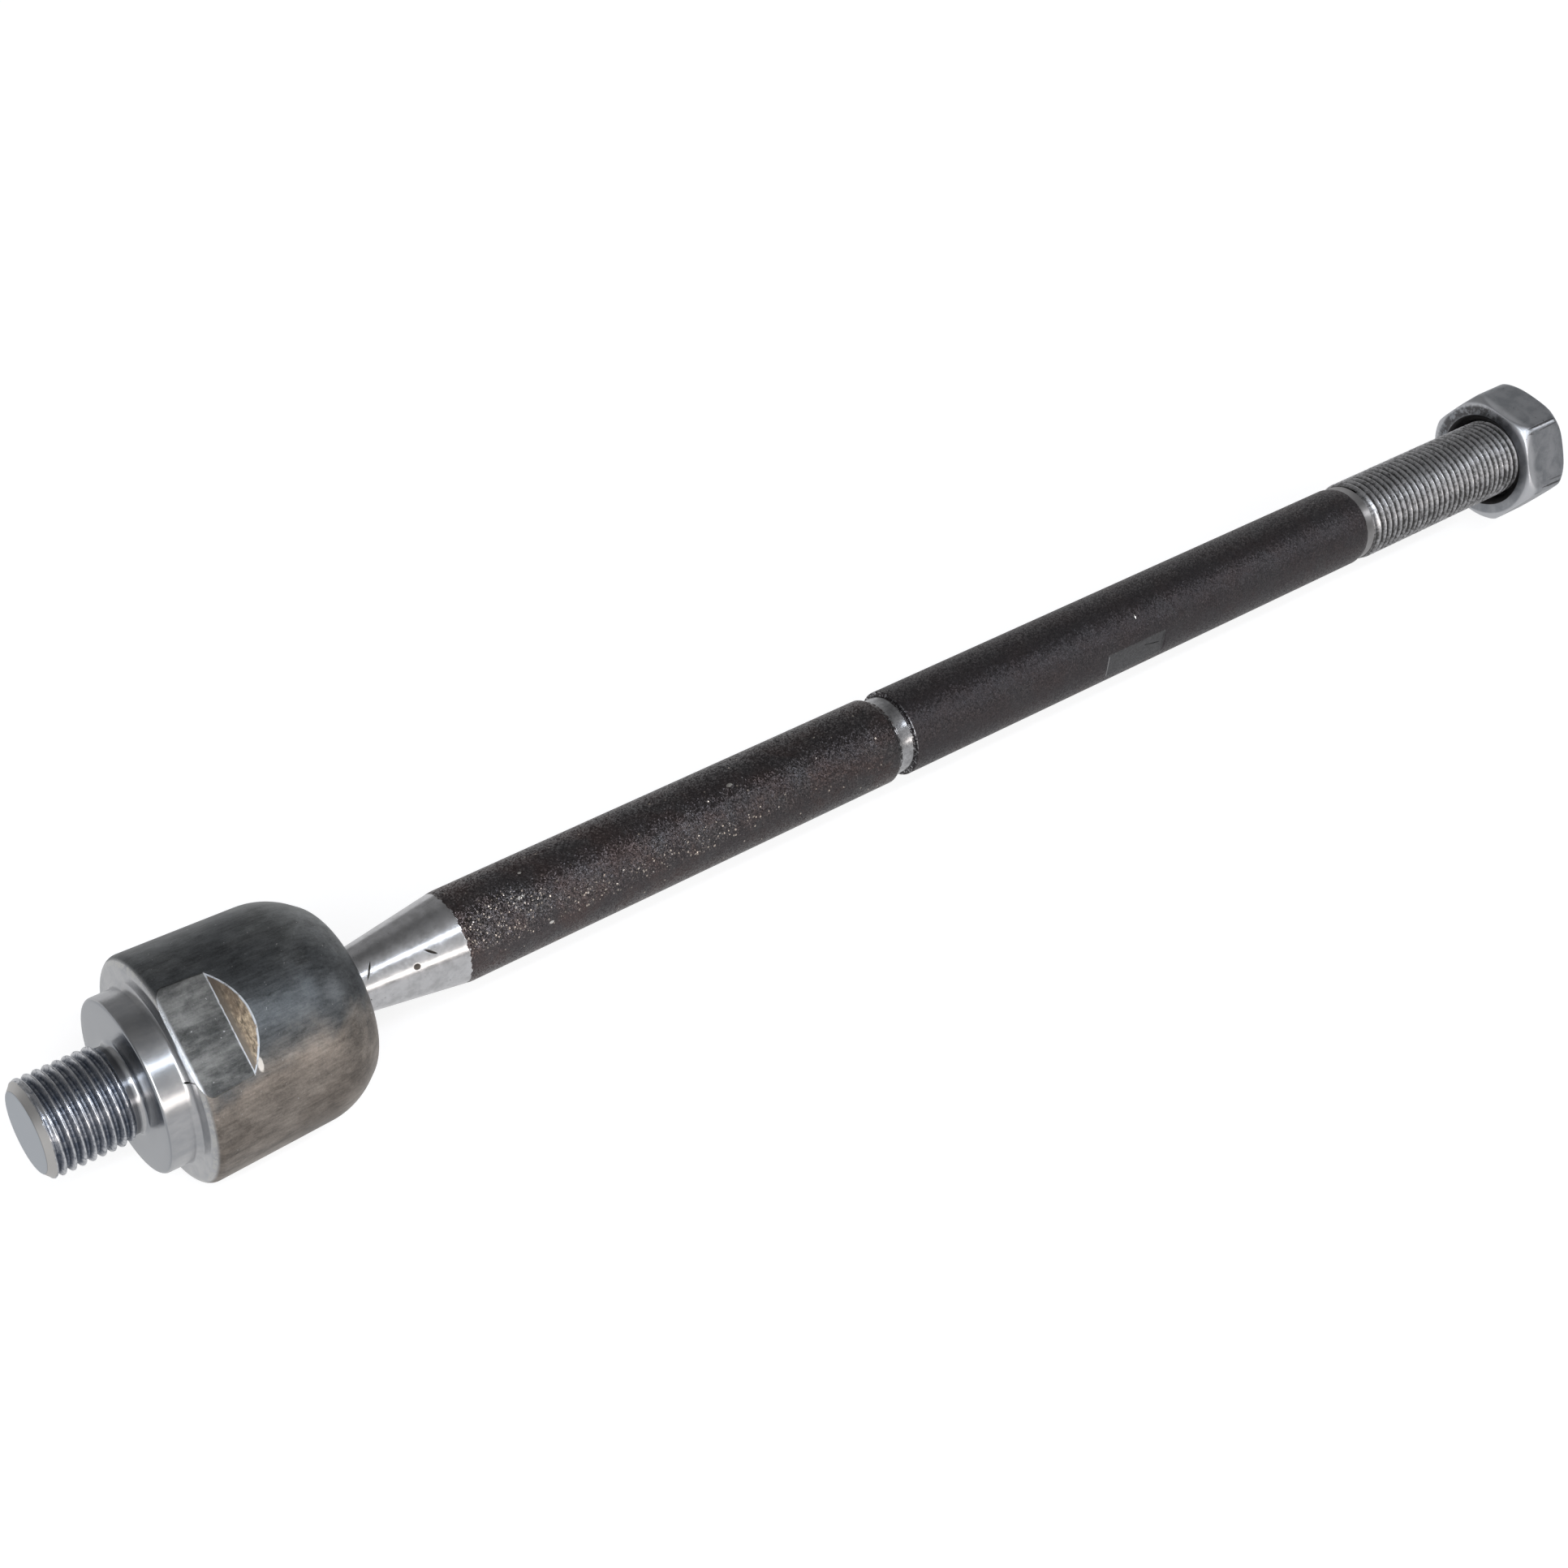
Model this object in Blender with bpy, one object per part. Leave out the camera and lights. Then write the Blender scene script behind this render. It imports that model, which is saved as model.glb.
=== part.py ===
"""Inner tie rod: a threaded socket that holds a ball, and the long rod that the ball ends.

The socket screws into the end of a steering rack by its shank and is turned by two wrench
flats. The ball at the rod's inner end sits in a slotted plastic bearing, which a disc spring
presses, and the socket's rim is rolled in over it. The far end of the rod is threaded for an
outer end and carries a jam nut.

Metres, +Z up. The rod's axis runs along +X from the shank to the nut, the part lies on its
side, and the origin is below the middle of the part on the level of its lowest point.
Outlines are pairs of distance from the shank's end face and radius.
"""
from math import acos, asin, atan, cos, pi, radians, sin, sqrt, tan

import bmesh
import bpy

MM = 0.001

# Shank, screwed into the rack
SHANK_LENGTH = 14.1 * MM
SHANK_THREAD_RADIUS = 7.07 * MM
SHANK_TIP_RADIUS = 6.06 * MM
SHANK_TIP_CHAMFER = 1.1 * MM
SHANK_RELIEF_LENGTH = 2.5 * MM
SHANK_RELIEF_RADIUS = 6.35 * MM
SHANK_RELIEF_RUNOUT = 0.5 * MM

# Collar that seats on the rack
COLLAR_STEP = 4.0 * MM
COLLAR_LENGTH = 4.4 * MM
COLLAR_EDGE_RADIUS = 1.0 * MM
COLLAR_ROOT_RADIUS = 1.4 * MM

# Barrel round the ball, slightly smaller towards the rod
BARREL_WALL = 4.2 * MM
BARREL_EDGE_RADIUS = 1.3 * MM
BARREL_BACK_WALL = 4.4 * MM
BARREL_DRAFT = 0.034
SHOULDER_LENGTH = 9.1 * MM
SHOULDER_RADIUS = 11.0 * MM
LIP_BEND_RADIUS = 4.8 * MM
SHOULDER_TURN = radians(37)
RIM_LAND = 0.25 * MM
RIM_FLARE = 0.25 * MM

# Wrench flats on the barrel, with the sloped run-out that the cutter leaves
BARREL_FLAT_SPAN = 29.4 * MM
BARREL_FLAT_LENGTH = 7.6 * MM
BARREL_RUNOUT_SLOPE = radians(31)
BARREL_FLAT_TURN = radians(118.9)

# Ball and neck, turned on the end of the rod
BALL_RADIUS = 10.5 * MM
BALL_TO_RIM = 10.1 * MM
BALL_END_FLAT_RADIUS = 3.4 * MM
NECK_RADIUS_AT_RIM = 4.5 * MM
NECK_ROOT_RADIUS = 1.6 * MM
TAPER_LENGTH = 18.3 * MM

# Plastic bearing and the disc spring behind it
BALL_CLEARANCE = 0.3 * MM
BEARING_WALL = 1.45 * MM
BEARING_CLEARANCE = 0.3 * MM
BEARING_BACK_DEPTH = 11.5 * MM
BEARING_RIM_DEPTH = 6.3 * MM
BEARING_BACK_HOLE_RADIUS = 4.0 * MM
BEARING_SLOT_COUNT = 8
BEARING_SLOT_WIDTH = 1.3 * MM
BEARING_SLOT_DEPTH = 7.5 * MM
SPRING_THICKNESS = 0.9 * MM
SPRING_RISE = 0.6 * MM
SPRING_OUTER_RADIUS = 10.0 * MM
SPRING_INNER_RADIUS = 4.8 * MM
SPRING_CLEARANCE = 0.3 * MM

# Rod
ROD_RADIUS = 7.05 * MM
ROD_LENGTH = 256.6 * MM
GROOVE_FROM_RIM = 96.4 * MM
GROOVE_WIDTH = 3.9 * MM
GROOVE_DEPTH = 0.75 * MM
GROOVE_SLOPE_LENGTH = 0.9 * MM
ROD_FLAT_FROM_RIM = 141.7 * MM
ROD_FLAT_LENGTH = 13.0 * MM
ROD_FLAT_SPAN = 13.5 * MM
ROD_FLAT_TURN = radians(175.5)

# Rod's thread and the bare ring that leads into it
ROD_THREAD_RADIUS = 7.14 * MM
ROD_THREAD_LENGTH = 49.0 * MM
ROD_TIP_RADIUS = 6.2 * MM
ROD_TIP_CHAMFER = 1.0 * MM
THREAD_LEAD_LENGTH = 1.9 * MM
THREAD_LEAD_RADIUS = 6.75 * MM
SHAFT_END_CHAMFER = 1.0 * MM

# Jam nut at the end of the thread
NUT_SPAN = 21.5 * MM
NUT_CORNER_RADIUS = 12.2 * MM
NUT_HEIGHT = 10.2 * MM
NUT_FROM_TIP = 1.2 * MM
NUT_FACE_RADIUS = 11.1 * MM
NUT_CHAMFER_LENGTH = 1.75 * MM
NUT_THREAD_CLEARANCE = 0.3 * MM
NUT_COUNTERSINK_RADIUS = 8.7 * MM
NUT_COUNTERSINK_SLOPE = radians(45)

# Smoothness of the turned faces
HOUSING_FACETS = 60
BEARING_FACETS = 40
ROD_FACETS = 40
NUT_FACETS_PER_SIDE = 8
ARC_STEP = radians(12)
WELD = 0.001 * MM
SHARP_ANGLE = radians(28)

# Radii that follow from the ball and what is fitted round it
CAVITY_RADIUS = BALL_RADIUS + BALL_CLEARANCE + BEARING_WALL + BEARING_CLEARANCE
BARREL_FRONT_RADIUS = CAVITY_RADIUS + BARREL_WALL
COLLAR_RADIUS = BARREL_FRONT_RADIUS - COLLAR_STEP

# Places along the axis, measured from the shank's end face
STEP_FACE = SHANK_LENGTH + COLLAR_LENGTH
CAVITY_FLOOR = STEP_FACE + BARREL_BACK_WALL
SPRING_START = CAVITY_FLOOR + SPRING_CLEARANCE
BEARING_BACK = SPRING_START + SPRING_THICKNESS + SPRING_RISE + SPRING_CLEARANCE
BALL_CENTRE = BEARING_BACK + BEARING_BACK_DEPTH
RIM = BALL_CENTRE + BALL_TO_RIM
ROD_TIP = RIM + ROD_LENGTH
PART_LENGTH = ROD_TIP
AXIS_HEIGHT = BARREL_FRONT_RADIUS - BARREL_DRAFT * BARREL_EDGE_RADIUS


def clear_scene():
    for thing in list(bpy.data.objects):
        bpy.data.objects.remove(thing)


def finish(name, colour, roughness, metallic):
    surface = bpy.data.materials.new(name)
    surface.use_nodes = True
    shader = surface.node_tree.nodes["Principled BSDF"]
    shader.inputs["Base Color"].default_value = (*colour, 1.0)
    shader.inputs["Roughness"].default_value = roughness
    shader.inputs["Metallic"].default_value = metallic
    return surface


def arc(centre, radius, start, stop):
    """Points on an arc of the outline; 0 points away from the axis, a quarter turn along it."""
    steps = max(2, round(abs(stop - start) / ARC_STEP))
    angles = [start + (stop - start) * step / steps for step in range(steps + 1)]
    return [(centre[0] + radius * sin(angle), centre[1] + radius * cos(angle)) for angle in angles]


def solid(name, shape):
    """Turns a closed shape's faces outwards and makes it a mesh."""
    bmesh.ops.recalc_face_normals(shape, faces=shape.faces)
    if shape.calc_volume(signed=True) < 0:
        bmesh.ops.reverse_faces(shape, faces=shape.faces)
    mesh = bpy.data.meshes.new(name)
    shape.to_mesh(mesh)
    shape.free()
    return mesh


def turned(name, outline, facets, closed=False):
    """Spins an outline round the X axis; its ends lie on the axis, or it closes on itself."""
    shape = bmesh.new()
    points = [shape.verts.new((along, 0.0, radius)) for along, radius in outline]
    edges = [shape.edges.new(pair) for pair in zip(points, points[1:])]
    if closed:
        edges.append(shape.edges.new((points[-1], points[0])))
    bmesh.ops.spin(shape, geom=points + edges, cent=(0, 0, 0), axis=(1, 0, 0), dvec=(0, 0, 0),
                   angle=2 * pi, steps=facets, use_merge=True, use_normal_flip=False,
                   use_duplicate=False)
    bmesh.ops.remove_doubles(shape, verts=shape.verts, dist=WELD)
    return solid(name, shape)


def prism(name, outline, width):
    """A cutter: an outline in the XZ plane, extruded both ways along Y."""
    shape = bmesh.new()
    points = [shape.verts.new((along, -width / 2, height)) for along, height in outline]
    face = shape.faces.new(points)
    result = bmesh.ops.extrude_face_region(shape, geom=[face])
    moved = [item for item in result["geom"] if isinstance(item, bmesh.types.BMVert)]
    bmesh.ops.translate(shape, verts=moved, vec=(0, width, 0))
    return solid(name, shape)


def place(name, mesh, parent, surface=None, turn=0.0):
    thing = bpy.data.objects.new(name, mesh)
    bpy.context.scene.collection.objects.link(thing)
    thing.parent = parent
    thing.rotation_euler = (turn, 0.0, 0.0)
    if surface:
        mesh.materials.append(surface)
        mesh.shade_smooth()
        mesh.set_sharp_from_angle(angle=SHARP_ANGLE)
    return thing


def cut(body, cutter):
    cutter.hide_render = True
    cutter.display_type = "WIRE"
    modifier = body.modifiers.new(cutter.name, "BOOLEAN")
    modifier.operation = "DIFFERENCE"
    modifier.solver = "EXACT"
    modifier.object = cutter


def empty(name, along, parent=None):
    """An empty on the rod's axis, a distance along it from the shank's end face."""
    thing = bpy.data.objects.new(name, None)
    bpy.context.scene.collection.objects.link(thing)
    if parent:
        thing.parent = parent
        thing.location = (along - parent["along"], 0.0, 0.0)
    else:
        thing.location = (along - PART_LENGTH / 2, 0.0, AXIS_HEIGHT)
    thing["along"] = along
    return thing


def shifted(outline, origin):
    return [(along - origin, radius) for along, radius in outline]


def barrel_radius(along):
    return BARREL_FRONT_RADIUS - BARREL_DRAFT * (along - STEP_FACE)


def shank_outline():
    relief_start = SHANK_LENGTH - SHANK_RELIEF_LENGTH
    root = SHANK_LENGTH - SHANK_RELIEF_RUNOUT
    return [
        (0.0, 0.0),
        (0.0, SHANK_TIP_RADIUS),
        (SHANK_TIP_CHAMFER, SHANK_THREAD_RADIUS),
        (relief_start, SHANK_THREAD_RADIUS),
        (relief_start + SHANK_RELIEF_RUNOUT, SHANK_RELIEF_RADIUS),
        (root, SHANK_RELIEF_RADIUS),
        (SHANK_LENGTH, SHANK_RELIEF_RADIUS + SHANK_RELIEF_RUNOUT),
    ]


def collar_outline():
    edge = (SHANK_LENGTH + COLLAR_EDGE_RADIUS, COLLAR_RADIUS - COLLAR_EDGE_RADIUS)
    root = (STEP_FACE - COLLAR_ROOT_RADIUS, COLLAR_RADIUS + COLLAR_ROOT_RADIUS)
    return arc(edge, COLLAR_EDGE_RADIUS, -pi / 2, 0) + arc(root, COLLAR_ROOT_RADIUS, pi, pi / 2)


def barrel_outline():
    """The barrel from its front edge to the rolled rim: a wide bend, then a tighter one."""
    tilt = atan(BARREL_DRAFT)
    edge_top = STEP_FACE + BARREL_EDGE_RADIUS
    edge = (edge_top, barrel_radius(edge_top) - BARREL_EDGE_RADIUS)
    shoulder_start = RIM - SHOULDER_LENGTH
    top = barrel_radius(shoulder_start)
    shoulder = (shoulder_start - SHOULDER_RADIUS * sin(tilt), top - SHOULDER_RADIUS * cos(tilt))
    wide = arc(shoulder, SHOULDER_RADIUS, tilt, SHOULDER_TURN)
    lip_along = RIM - LIP_BEND_RADIUS
    drop = lip_along + LIP_BEND_RADIUS * sin(SHOULDER_TURN) - wide[-1][0]
    lip_top = wide[-1][1] - drop * tan(SHOULDER_TURN)
    lip = (lip_along, lip_top - LIP_BEND_RADIUS * cos(SHOULDER_TURN))
    return (arc(edge, BARREL_EDGE_RADIUS, -pi / 2, 0) + wide
            + arc(lip, LIP_BEND_RADIUS, SHOULDER_TURN, pi / 2))


def cavity_outline(rim_radius):
    """The ball's cavity from the rim inwards: the rolled lip, the bore and its floor."""
    flare = rim_radius - RIM_LAND
    rolled = arc((BALL_CENTRE, 0.0), CAVITY_RADIUS, acos((flare - RIM_FLARE) / CAVITY_RADIUS), 0)
    return [(RIM, flare)] + rolled + [(CAVITY_FLOOR, CAVITY_RADIUS), (CAVITY_FLOOR, 0.0)]


def barrel_flat_outline():
    """A flat milled in from the step face, which runs out to the barrel's surface on a slope."""
    flat = BARREL_FLAT_SPAN / 2
    depth = BARREL_FRONT_RADIUS - flat
    start = STEP_FACE - BARREL_EDGE_RADIUS
    stop = STEP_FACE + BARREL_FLAT_LENGTH
    above = flat + 2 * depth
    return [(start, flat), (stop, flat), (stop + 2 * depth / tan(BARREL_RUNOUT_SLOPE), above),
            (start, above)]


def rod_flat_outline():
    flat = ROD_FLAT_SPAN / 2
    depth = ROD_RADIUS - flat
    start = RIM + ROD_FLAT_FROM_RIM
    stop = start + ROD_FLAT_LENGTH
    above = flat + 2 * depth
    return [(start, flat), (stop, flat), (stop + 2 * depth, above), (start - 2 * depth, above)]


def cut_flats(body, axis, outline, width, turn):
    """Cuts an opposite pair of flats, the first with its face turned towards the given angle."""
    for side in range(2):
        name = f"{body.name}_flat_{side}"
        cutter = prism(name, shifted(outline, axis["along"]), width)
        cut(body, place(name, cutter, axis, turn=turn + side * pi - pi / 2))


def socket_housing(socket, steel):
    outside = shank_outline() + collar_outline() + barrel_outline()
    outline = outside + cavity_outline(outside[-1][1])
    mesh = turned("socket_housing", shifted(outline, socket["along"]), HOUSING_FACETS)
    housing = place("socket_housing", mesh, socket, steel)
    cut_flats(housing, socket, barrel_flat_outline(), 3 * BARREL_FRONT_RADIUS, BARREL_FLAT_TURN)
    return housing


def preload_spring(socket, steel):
    """A cone-shaped disc between the cavity's floor and the back of the bearing."""
    outline = [
        (SPRING_START, SPRING_OUTER_RADIUS),
        (SPRING_START + SPRING_THICKNESS, SPRING_OUTER_RADIUS),
        (SPRING_START + SPRING_THICKNESS + SPRING_RISE, SPRING_INNER_RADIUS),
        (SPRING_START + SPRING_RISE, SPRING_INNER_RADIUS),
    ]
    mesh = turned("preload_spring", shifted(outline, socket["along"]), BEARING_FACETS, closed=True)
    return place("preload_spring", mesh, socket, steel)


def ball_bearing(ball, plastic):
    """A cup that snaps over the ball: its rim is slotted, and a hole at its back holds grease."""
    inner = BALL_RADIUS + BALL_CLEARANCE
    outer = inner + BEARING_WALL
    back = -BEARING_BACK_DEPTH
    outside = arc((0.0, 0.0), outer, 0, asin(BEARING_RIM_DEPTH / outer))
    inside = arc((0.0, 0.0), inner, asin(BEARING_RIM_DEPTH / inner),
                 asin(BEARING_BACK_HOLE_RADIUS / inner) - pi / 2)
    outline = [(back, BEARING_BACK_HOLE_RADIUS), (back, outer)] + outside + inside
    mesh = turned("ball_bearing", outline, BEARING_FACETS, closed=True)
    bearing = place("ball_bearing", mesh, ball, plastic)
    slot_start = BEARING_RIM_DEPTH - BEARING_SLOT_DEPTH
    slot = [(slot_start, BEARING_BACK_HOLE_RADIUS), (2 * outer, BEARING_BACK_HOLE_RADIUS),
            (2 * outer, 2 * outer), (slot_start, 2 * outer)]
    for index in range(BEARING_SLOT_COUNT):
        name = f"bearing_slot_{index}"
        turn = 2 * pi * (index + 0.5) / BEARING_SLOT_COUNT
        cut(bearing, place(name, prism(name, slot, BEARING_SLOT_WIDTH), ball, turn=turn))
    return bearing


def ball_and_neck_outline():
    """The ball, the hollow at its neck and the taper, as distances from the ball's centre."""
    slope = (ROD_RADIUS - NECK_RADIUS_AT_RIM) / TAPER_LENGTH
    tilt = atan(slope)
    at_centre = NECK_RADIUS_AT_RIM - slope * BALL_TO_RIM
    reach = BALL_RADIUS + NECK_ROOT_RADIUS
    lifted = at_centre + NECK_ROOT_RADIUS / cos(tilt)
    square = 1 + slope * slope
    middle = lifted * slope
    along = (sqrt(middle * middle - square * (lifted * lifted - reach * reach)) - middle) / square
    hollow = (along, lifted + slope * along)
    onto_ball = asin(along / reach)
    back = asin(BALL_END_FLAT_RADIUS / BALL_RADIUS) - pi / 2
    ball = arc((0.0, 0.0), BALL_RADIUS, back, onto_ball)
    neck = arc(hollow, NECK_ROOT_RADIUS, onto_ball + pi, pi - tilt)
    taper_end = (BALL_TO_RIM + TAPER_LENGTH, ROD_RADIUS)
    return [(ball[0][0], 0.0)] + ball + neck[1:] + [taper_end]


def groove_outline():
    start = RIM + GROOVE_FROM_RIM
    stop = start + GROOVE_WIDTH
    floor = ROD_RADIUS - GROOVE_DEPTH
    return [(start, ROD_RADIUS), (start + GROOVE_SLOPE_LENGTH, floor), (stop, floor),
            (stop, ROD_RADIUS)]


def rod_thread_outline():
    start = ROD_TIP - ROD_THREAD_LENGTH
    shaft_end = start - THREAD_LEAD_LENGTH
    return [
        (shaft_end - SHAFT_END_CHAMFER, ROD_RADIUS),
        (shaft_end, THREAD_LEAD_RADIUS),
        (start, THREAD_LEAD_RADIUS),
        (start + ROD_THREAD_RADIUS - THREAD_LEAD_RADIUS, ROD_THREAD_RADIUS),
        (ROD_TIP - ROD_TIP_CHAMFER, ROD_THREAD_RADIUS),
        (ROD_TIP, ROD_TIP_RADIUS),
        (ROD_TIP, 0.0),
    ]


def tie_rod(ball, steel):
    outline = ball_and_neck_outline() + shifted(groove_outline() + rod_thread_outline(),
                                                ball["along"])
    rod = place("tie_rod", turned("tie_rod", outline, ROD_FACETS), ball, steel)
    cut_flats(rod, ball, rod_flat_outline(), 3 * ROD_RADIUS, ROD_FLAT_TURN)
    return rod


def nut_ring(shape, along, limit):
    """A hexagon's corner points with each corner rounded, none further out than the limit."""
    points = []
    count = 6 * NUT_FACETS_PER_SIDE
    for index in range(count):
        turn = 2 * pi * index / count
        from_flat = (turn + pi / 6) % (pi / 3) - pi / 6
        reach = min(NUT_SPAN / 2 / cos(from_flat), NUT_CORNER_RADIUS, limit)
        points.append(shape.verts.new((along, reach * sin(turn), -reach * cos(turn))))
    return points


def round_ring(shape, along, radius):
    count = 6 * NUT_FACETS_PER_SIDE
    turns = [2 * pi * index / count for index in range(count)]
    return [shape.verts.new((along, radius * sin(turn), -radius * cos(turn))) for turn in turns]


def join_rings(shape, rings):
    for near, far in zip(rings, rings[1:] + rings[:1]):
        for index in range(len(near)):
            following = (index + 1) % len(near)
            shape.faces.new((near[index], near[following], far[following], far[index]))


def jam_nut(seat, steel):
    """A hexagon with one flat down, chamfered corners and a countersink at each face."""
    bore = ROD_THREAD_RADIUS + NUT_THREAD_CLEARANCE
    sink = (NUT_COUNTERSINK_RADIUS - bore) / tan(NUT_COUNTERSINK_SLOPE)
    halfway = (NUT_FACE_RADIUS + NUT_CORNER_RADIUS) / 2
    shape = bmesh.new()
    front = [nut_ring(shape, 0.0, NUT_FACE_RADIUS),
             nut_ring(shape, NUT_CHAMFER_LENGTH / 2, halfway),
             nut_ring(shape, NUT_CHAMFER_LENGTH, NUT_CORNER_RADIUS)]
    back = [nut_ring(shape, NUT_HEIGHT - NUT_CHAMFER_LENGTH, NUT_CORNER_RADIUS),
            nut_ring(shape, NUT_HEIGHT - NUT_CHAMFER_LENGTH / 2, halfway),
            nut_ring(shape, NUT_HEIGHT, NUT_FACE_RADIUS)]
    hole = [round_ring(shape, NUT_HEIGHT, NUT_COUNTERSINK_RADIUS),
            round_ring(shape, NUT_HEIGHT - sink, bore), round_ring(shape, sink, bore),
            round_ring(shape, 0.0, NUT_COUNTERSINK_RADIUS)]
    join_rings(shape, front + back + hole)
    return place("jam_nut", solid("jam_nut", shape), seat, steel)


clear_scene()
bright_steel = finish("bright_steel", (0.52, 0.52, 0.53), 0.32, 1.0)
black_steel = finish("black_steel", (0.05, 0.045, 0.045), 0.5, 0.8)
grey_steel = finish("grey_steel", (0.27, 0.27, 0.28), 0.42, 1.0)
spring_steel = finish("spring_steel", (0.35, 0.35, 0.36), 0.35, 1.0)
white_acetal = finish("white_acetal", (0.82, 0.8, 0.74), 0.45, 0.0)

socket_axis = empty("socket_axis", 0.0)
ball_axis = empty("ball_axis", BALL_CENTRE, socket_axis)
nut_axis = empty("nut_axis", ROD_TIP - NUT_FROM_TIP - NUT_HEIGHT, ball_axis)

socket_housing(socket_axis, bright_steel)
preload_spring(socket_axis, spring_steel)
ball_bearing(ball_axis, white_acetal)
tie_rod(ball_axis, black_steel)
jam_nut(nut_axis, grey_steel)
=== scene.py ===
"""Looks of the inner tie rod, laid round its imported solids.

The parts come in the order in which they are put together: the housing that screws into the
rack, the spring and bearing inside it, the rod with its ball, and the jam nut. Distances along
the rod are in millimetres from the shank's end face, and MM turns them into metres.
"""
from math import atan, cos, pi, radians, sin, sqrt, tan

import bmesh
import bpy
from mathutils import Matrix, Vector


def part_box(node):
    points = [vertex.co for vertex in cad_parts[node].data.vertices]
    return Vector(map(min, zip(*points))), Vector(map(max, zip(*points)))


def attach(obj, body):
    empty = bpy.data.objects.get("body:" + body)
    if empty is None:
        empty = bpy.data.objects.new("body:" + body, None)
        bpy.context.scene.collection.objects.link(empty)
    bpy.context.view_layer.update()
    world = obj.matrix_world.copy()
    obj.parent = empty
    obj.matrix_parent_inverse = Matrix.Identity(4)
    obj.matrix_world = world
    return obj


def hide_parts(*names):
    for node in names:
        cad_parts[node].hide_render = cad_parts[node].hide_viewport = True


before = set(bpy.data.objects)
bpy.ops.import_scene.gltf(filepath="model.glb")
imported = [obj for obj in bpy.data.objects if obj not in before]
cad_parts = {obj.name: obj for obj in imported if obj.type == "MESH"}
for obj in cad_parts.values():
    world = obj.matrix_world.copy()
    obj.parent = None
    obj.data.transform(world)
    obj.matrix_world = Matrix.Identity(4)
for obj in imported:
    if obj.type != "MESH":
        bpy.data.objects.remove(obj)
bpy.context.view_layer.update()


# Camera: at the photograph's angle, worked out from the rod's two edges and from the round
# edges of the housing and the nut, with its lens and its distance to match
LENS = 58.77
SENSOR = 36.0
CAMERA_PLACE = (-0.22503, -0.20034, 0.29333)
camera_data = bpy.data.cameras.new("camera")
camera_data.lens = LENS
camera_data.sensor_width = SENSOR
camera_data.clip_start = 0.01
camera = bpy.data.objects.new("camera", camera_data)
bpy.context.scene.collection.objects.link(camera)
right = Vector((0.78428, -0.60794, 0.12369)).normalized()
forward = Vector((0.50303, 0.50644, -0.70033)).normalized()
upward = right.cross(forward)
facing = Matrix((right, upward, -forward)).transposed().to_4x4()
camera.matrix_world = Matrix.Translation(Vector(CAMERA_PLACE)) @ facing
bpy.context.scene.camera = camera
bpy.context.scene.view_settings.view_transform = "Standard"


# Floor: a flat white board that the rod lies on. It looks white to the camera and is bright in
# the steel's reflections, and it keeps a faint shadow of the rod.
FLOOR_SIZE = 3.0
FLOOR_DROP = 0.0002


def node(tree, kind, inputs=None, **settings):
    """Adds a shader node; inputs are values or the sockets that feed them."""
    made = tree.nodes.new("ShaderNode" + kind)
    for key, value in settings.items():
        setattr(made, key, value)
    for key, value in (inputs or {}).items():
        if isinstance(value, bpy.types.NodeSocket):
            tree.links.new(value, made.inputs[key])
        else:
            made.inputs[key].default_value = value
    return made


def math(tree, operation, *values, clamp=False):
    """One step of arithmetic."""
    made = node(tree, "Math", dict(enumerate(values)), operation=operation, use_clamp=clamp)
    return made.outputs[0]


floor_mesh = bpy.data.meshes.new("floor")
floor_shape = bmesh.new()
bmesh.ops.create_grid(floor_shape, x_segments=1, y_segments=1, size=FLOOR_SIZE / 2)
floor_shape.to_mesh(floor_mesh)
floor_shape.free()
floor = bpy.data.objects.new("floor", floor_mesh)
bpy.context.scene.collection.objects.link(floor)
floor.location = (0, 0, -FLOOR_DROP)
board = bpy.data.materials.new("white_board")
board.use_nodes = True
tree = board.node_tree
tree.nodes.clear()
path = node(tree, "LightPath")
so_far = node(tree, "BsdfDiffuse", {"Color": (0.82, 0.82, 0.83, 1)}).outputs[0]
for ray, strength, part in (("Is Camera Ray", 1.55, 0.5), ("Is Glossy Ray", 0.70, 0.9)):
    glow = node(tree, "Emission", {"Strength": strength})
    share = math(tree, "MULTIPLY", path.outputs[ray], part)
    so_far = node(tree, "MixShader", {0: share, 1: so_far, 2: glow.outputs[0]}).outputs[0]
node(tree, "OutputMaterial", {"Surface": so_far})
floor_mesh.materials.append(board)


# Light: a grey tent with a dark gap above and behind the rod, and four soft lights in front of
# it. Each light gives one of the highlights that run along the round parts.
housing_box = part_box("socket_housing")
AXIS_HEIGHT = (housing_box[0][2] + housing_box[1][2]) / 2


def mixed(tree, factor, first, second):
    """A colour between two colours."""
    made = node(tree, "Mix", {0: factor, 6: first, 7: second}, data_type="RGBA")
    return made.outputs[2]


def ramp(tree, value, marks):
    """Grey levels that change with a value, from pairs of value and level."""
    made = node(tree, "ValToRGB", {"Fac": value})
    elements = made.color_ramp.elements
    elements.remove(elements[0])
    for index, (position, grey) in enumerate(marks):
        element = elements[0] if index == 0 else elements.new(position)
        element.position = position
        element.color = (grey, grey, grey, 1)
    return made.outputs["Color"]


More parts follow.
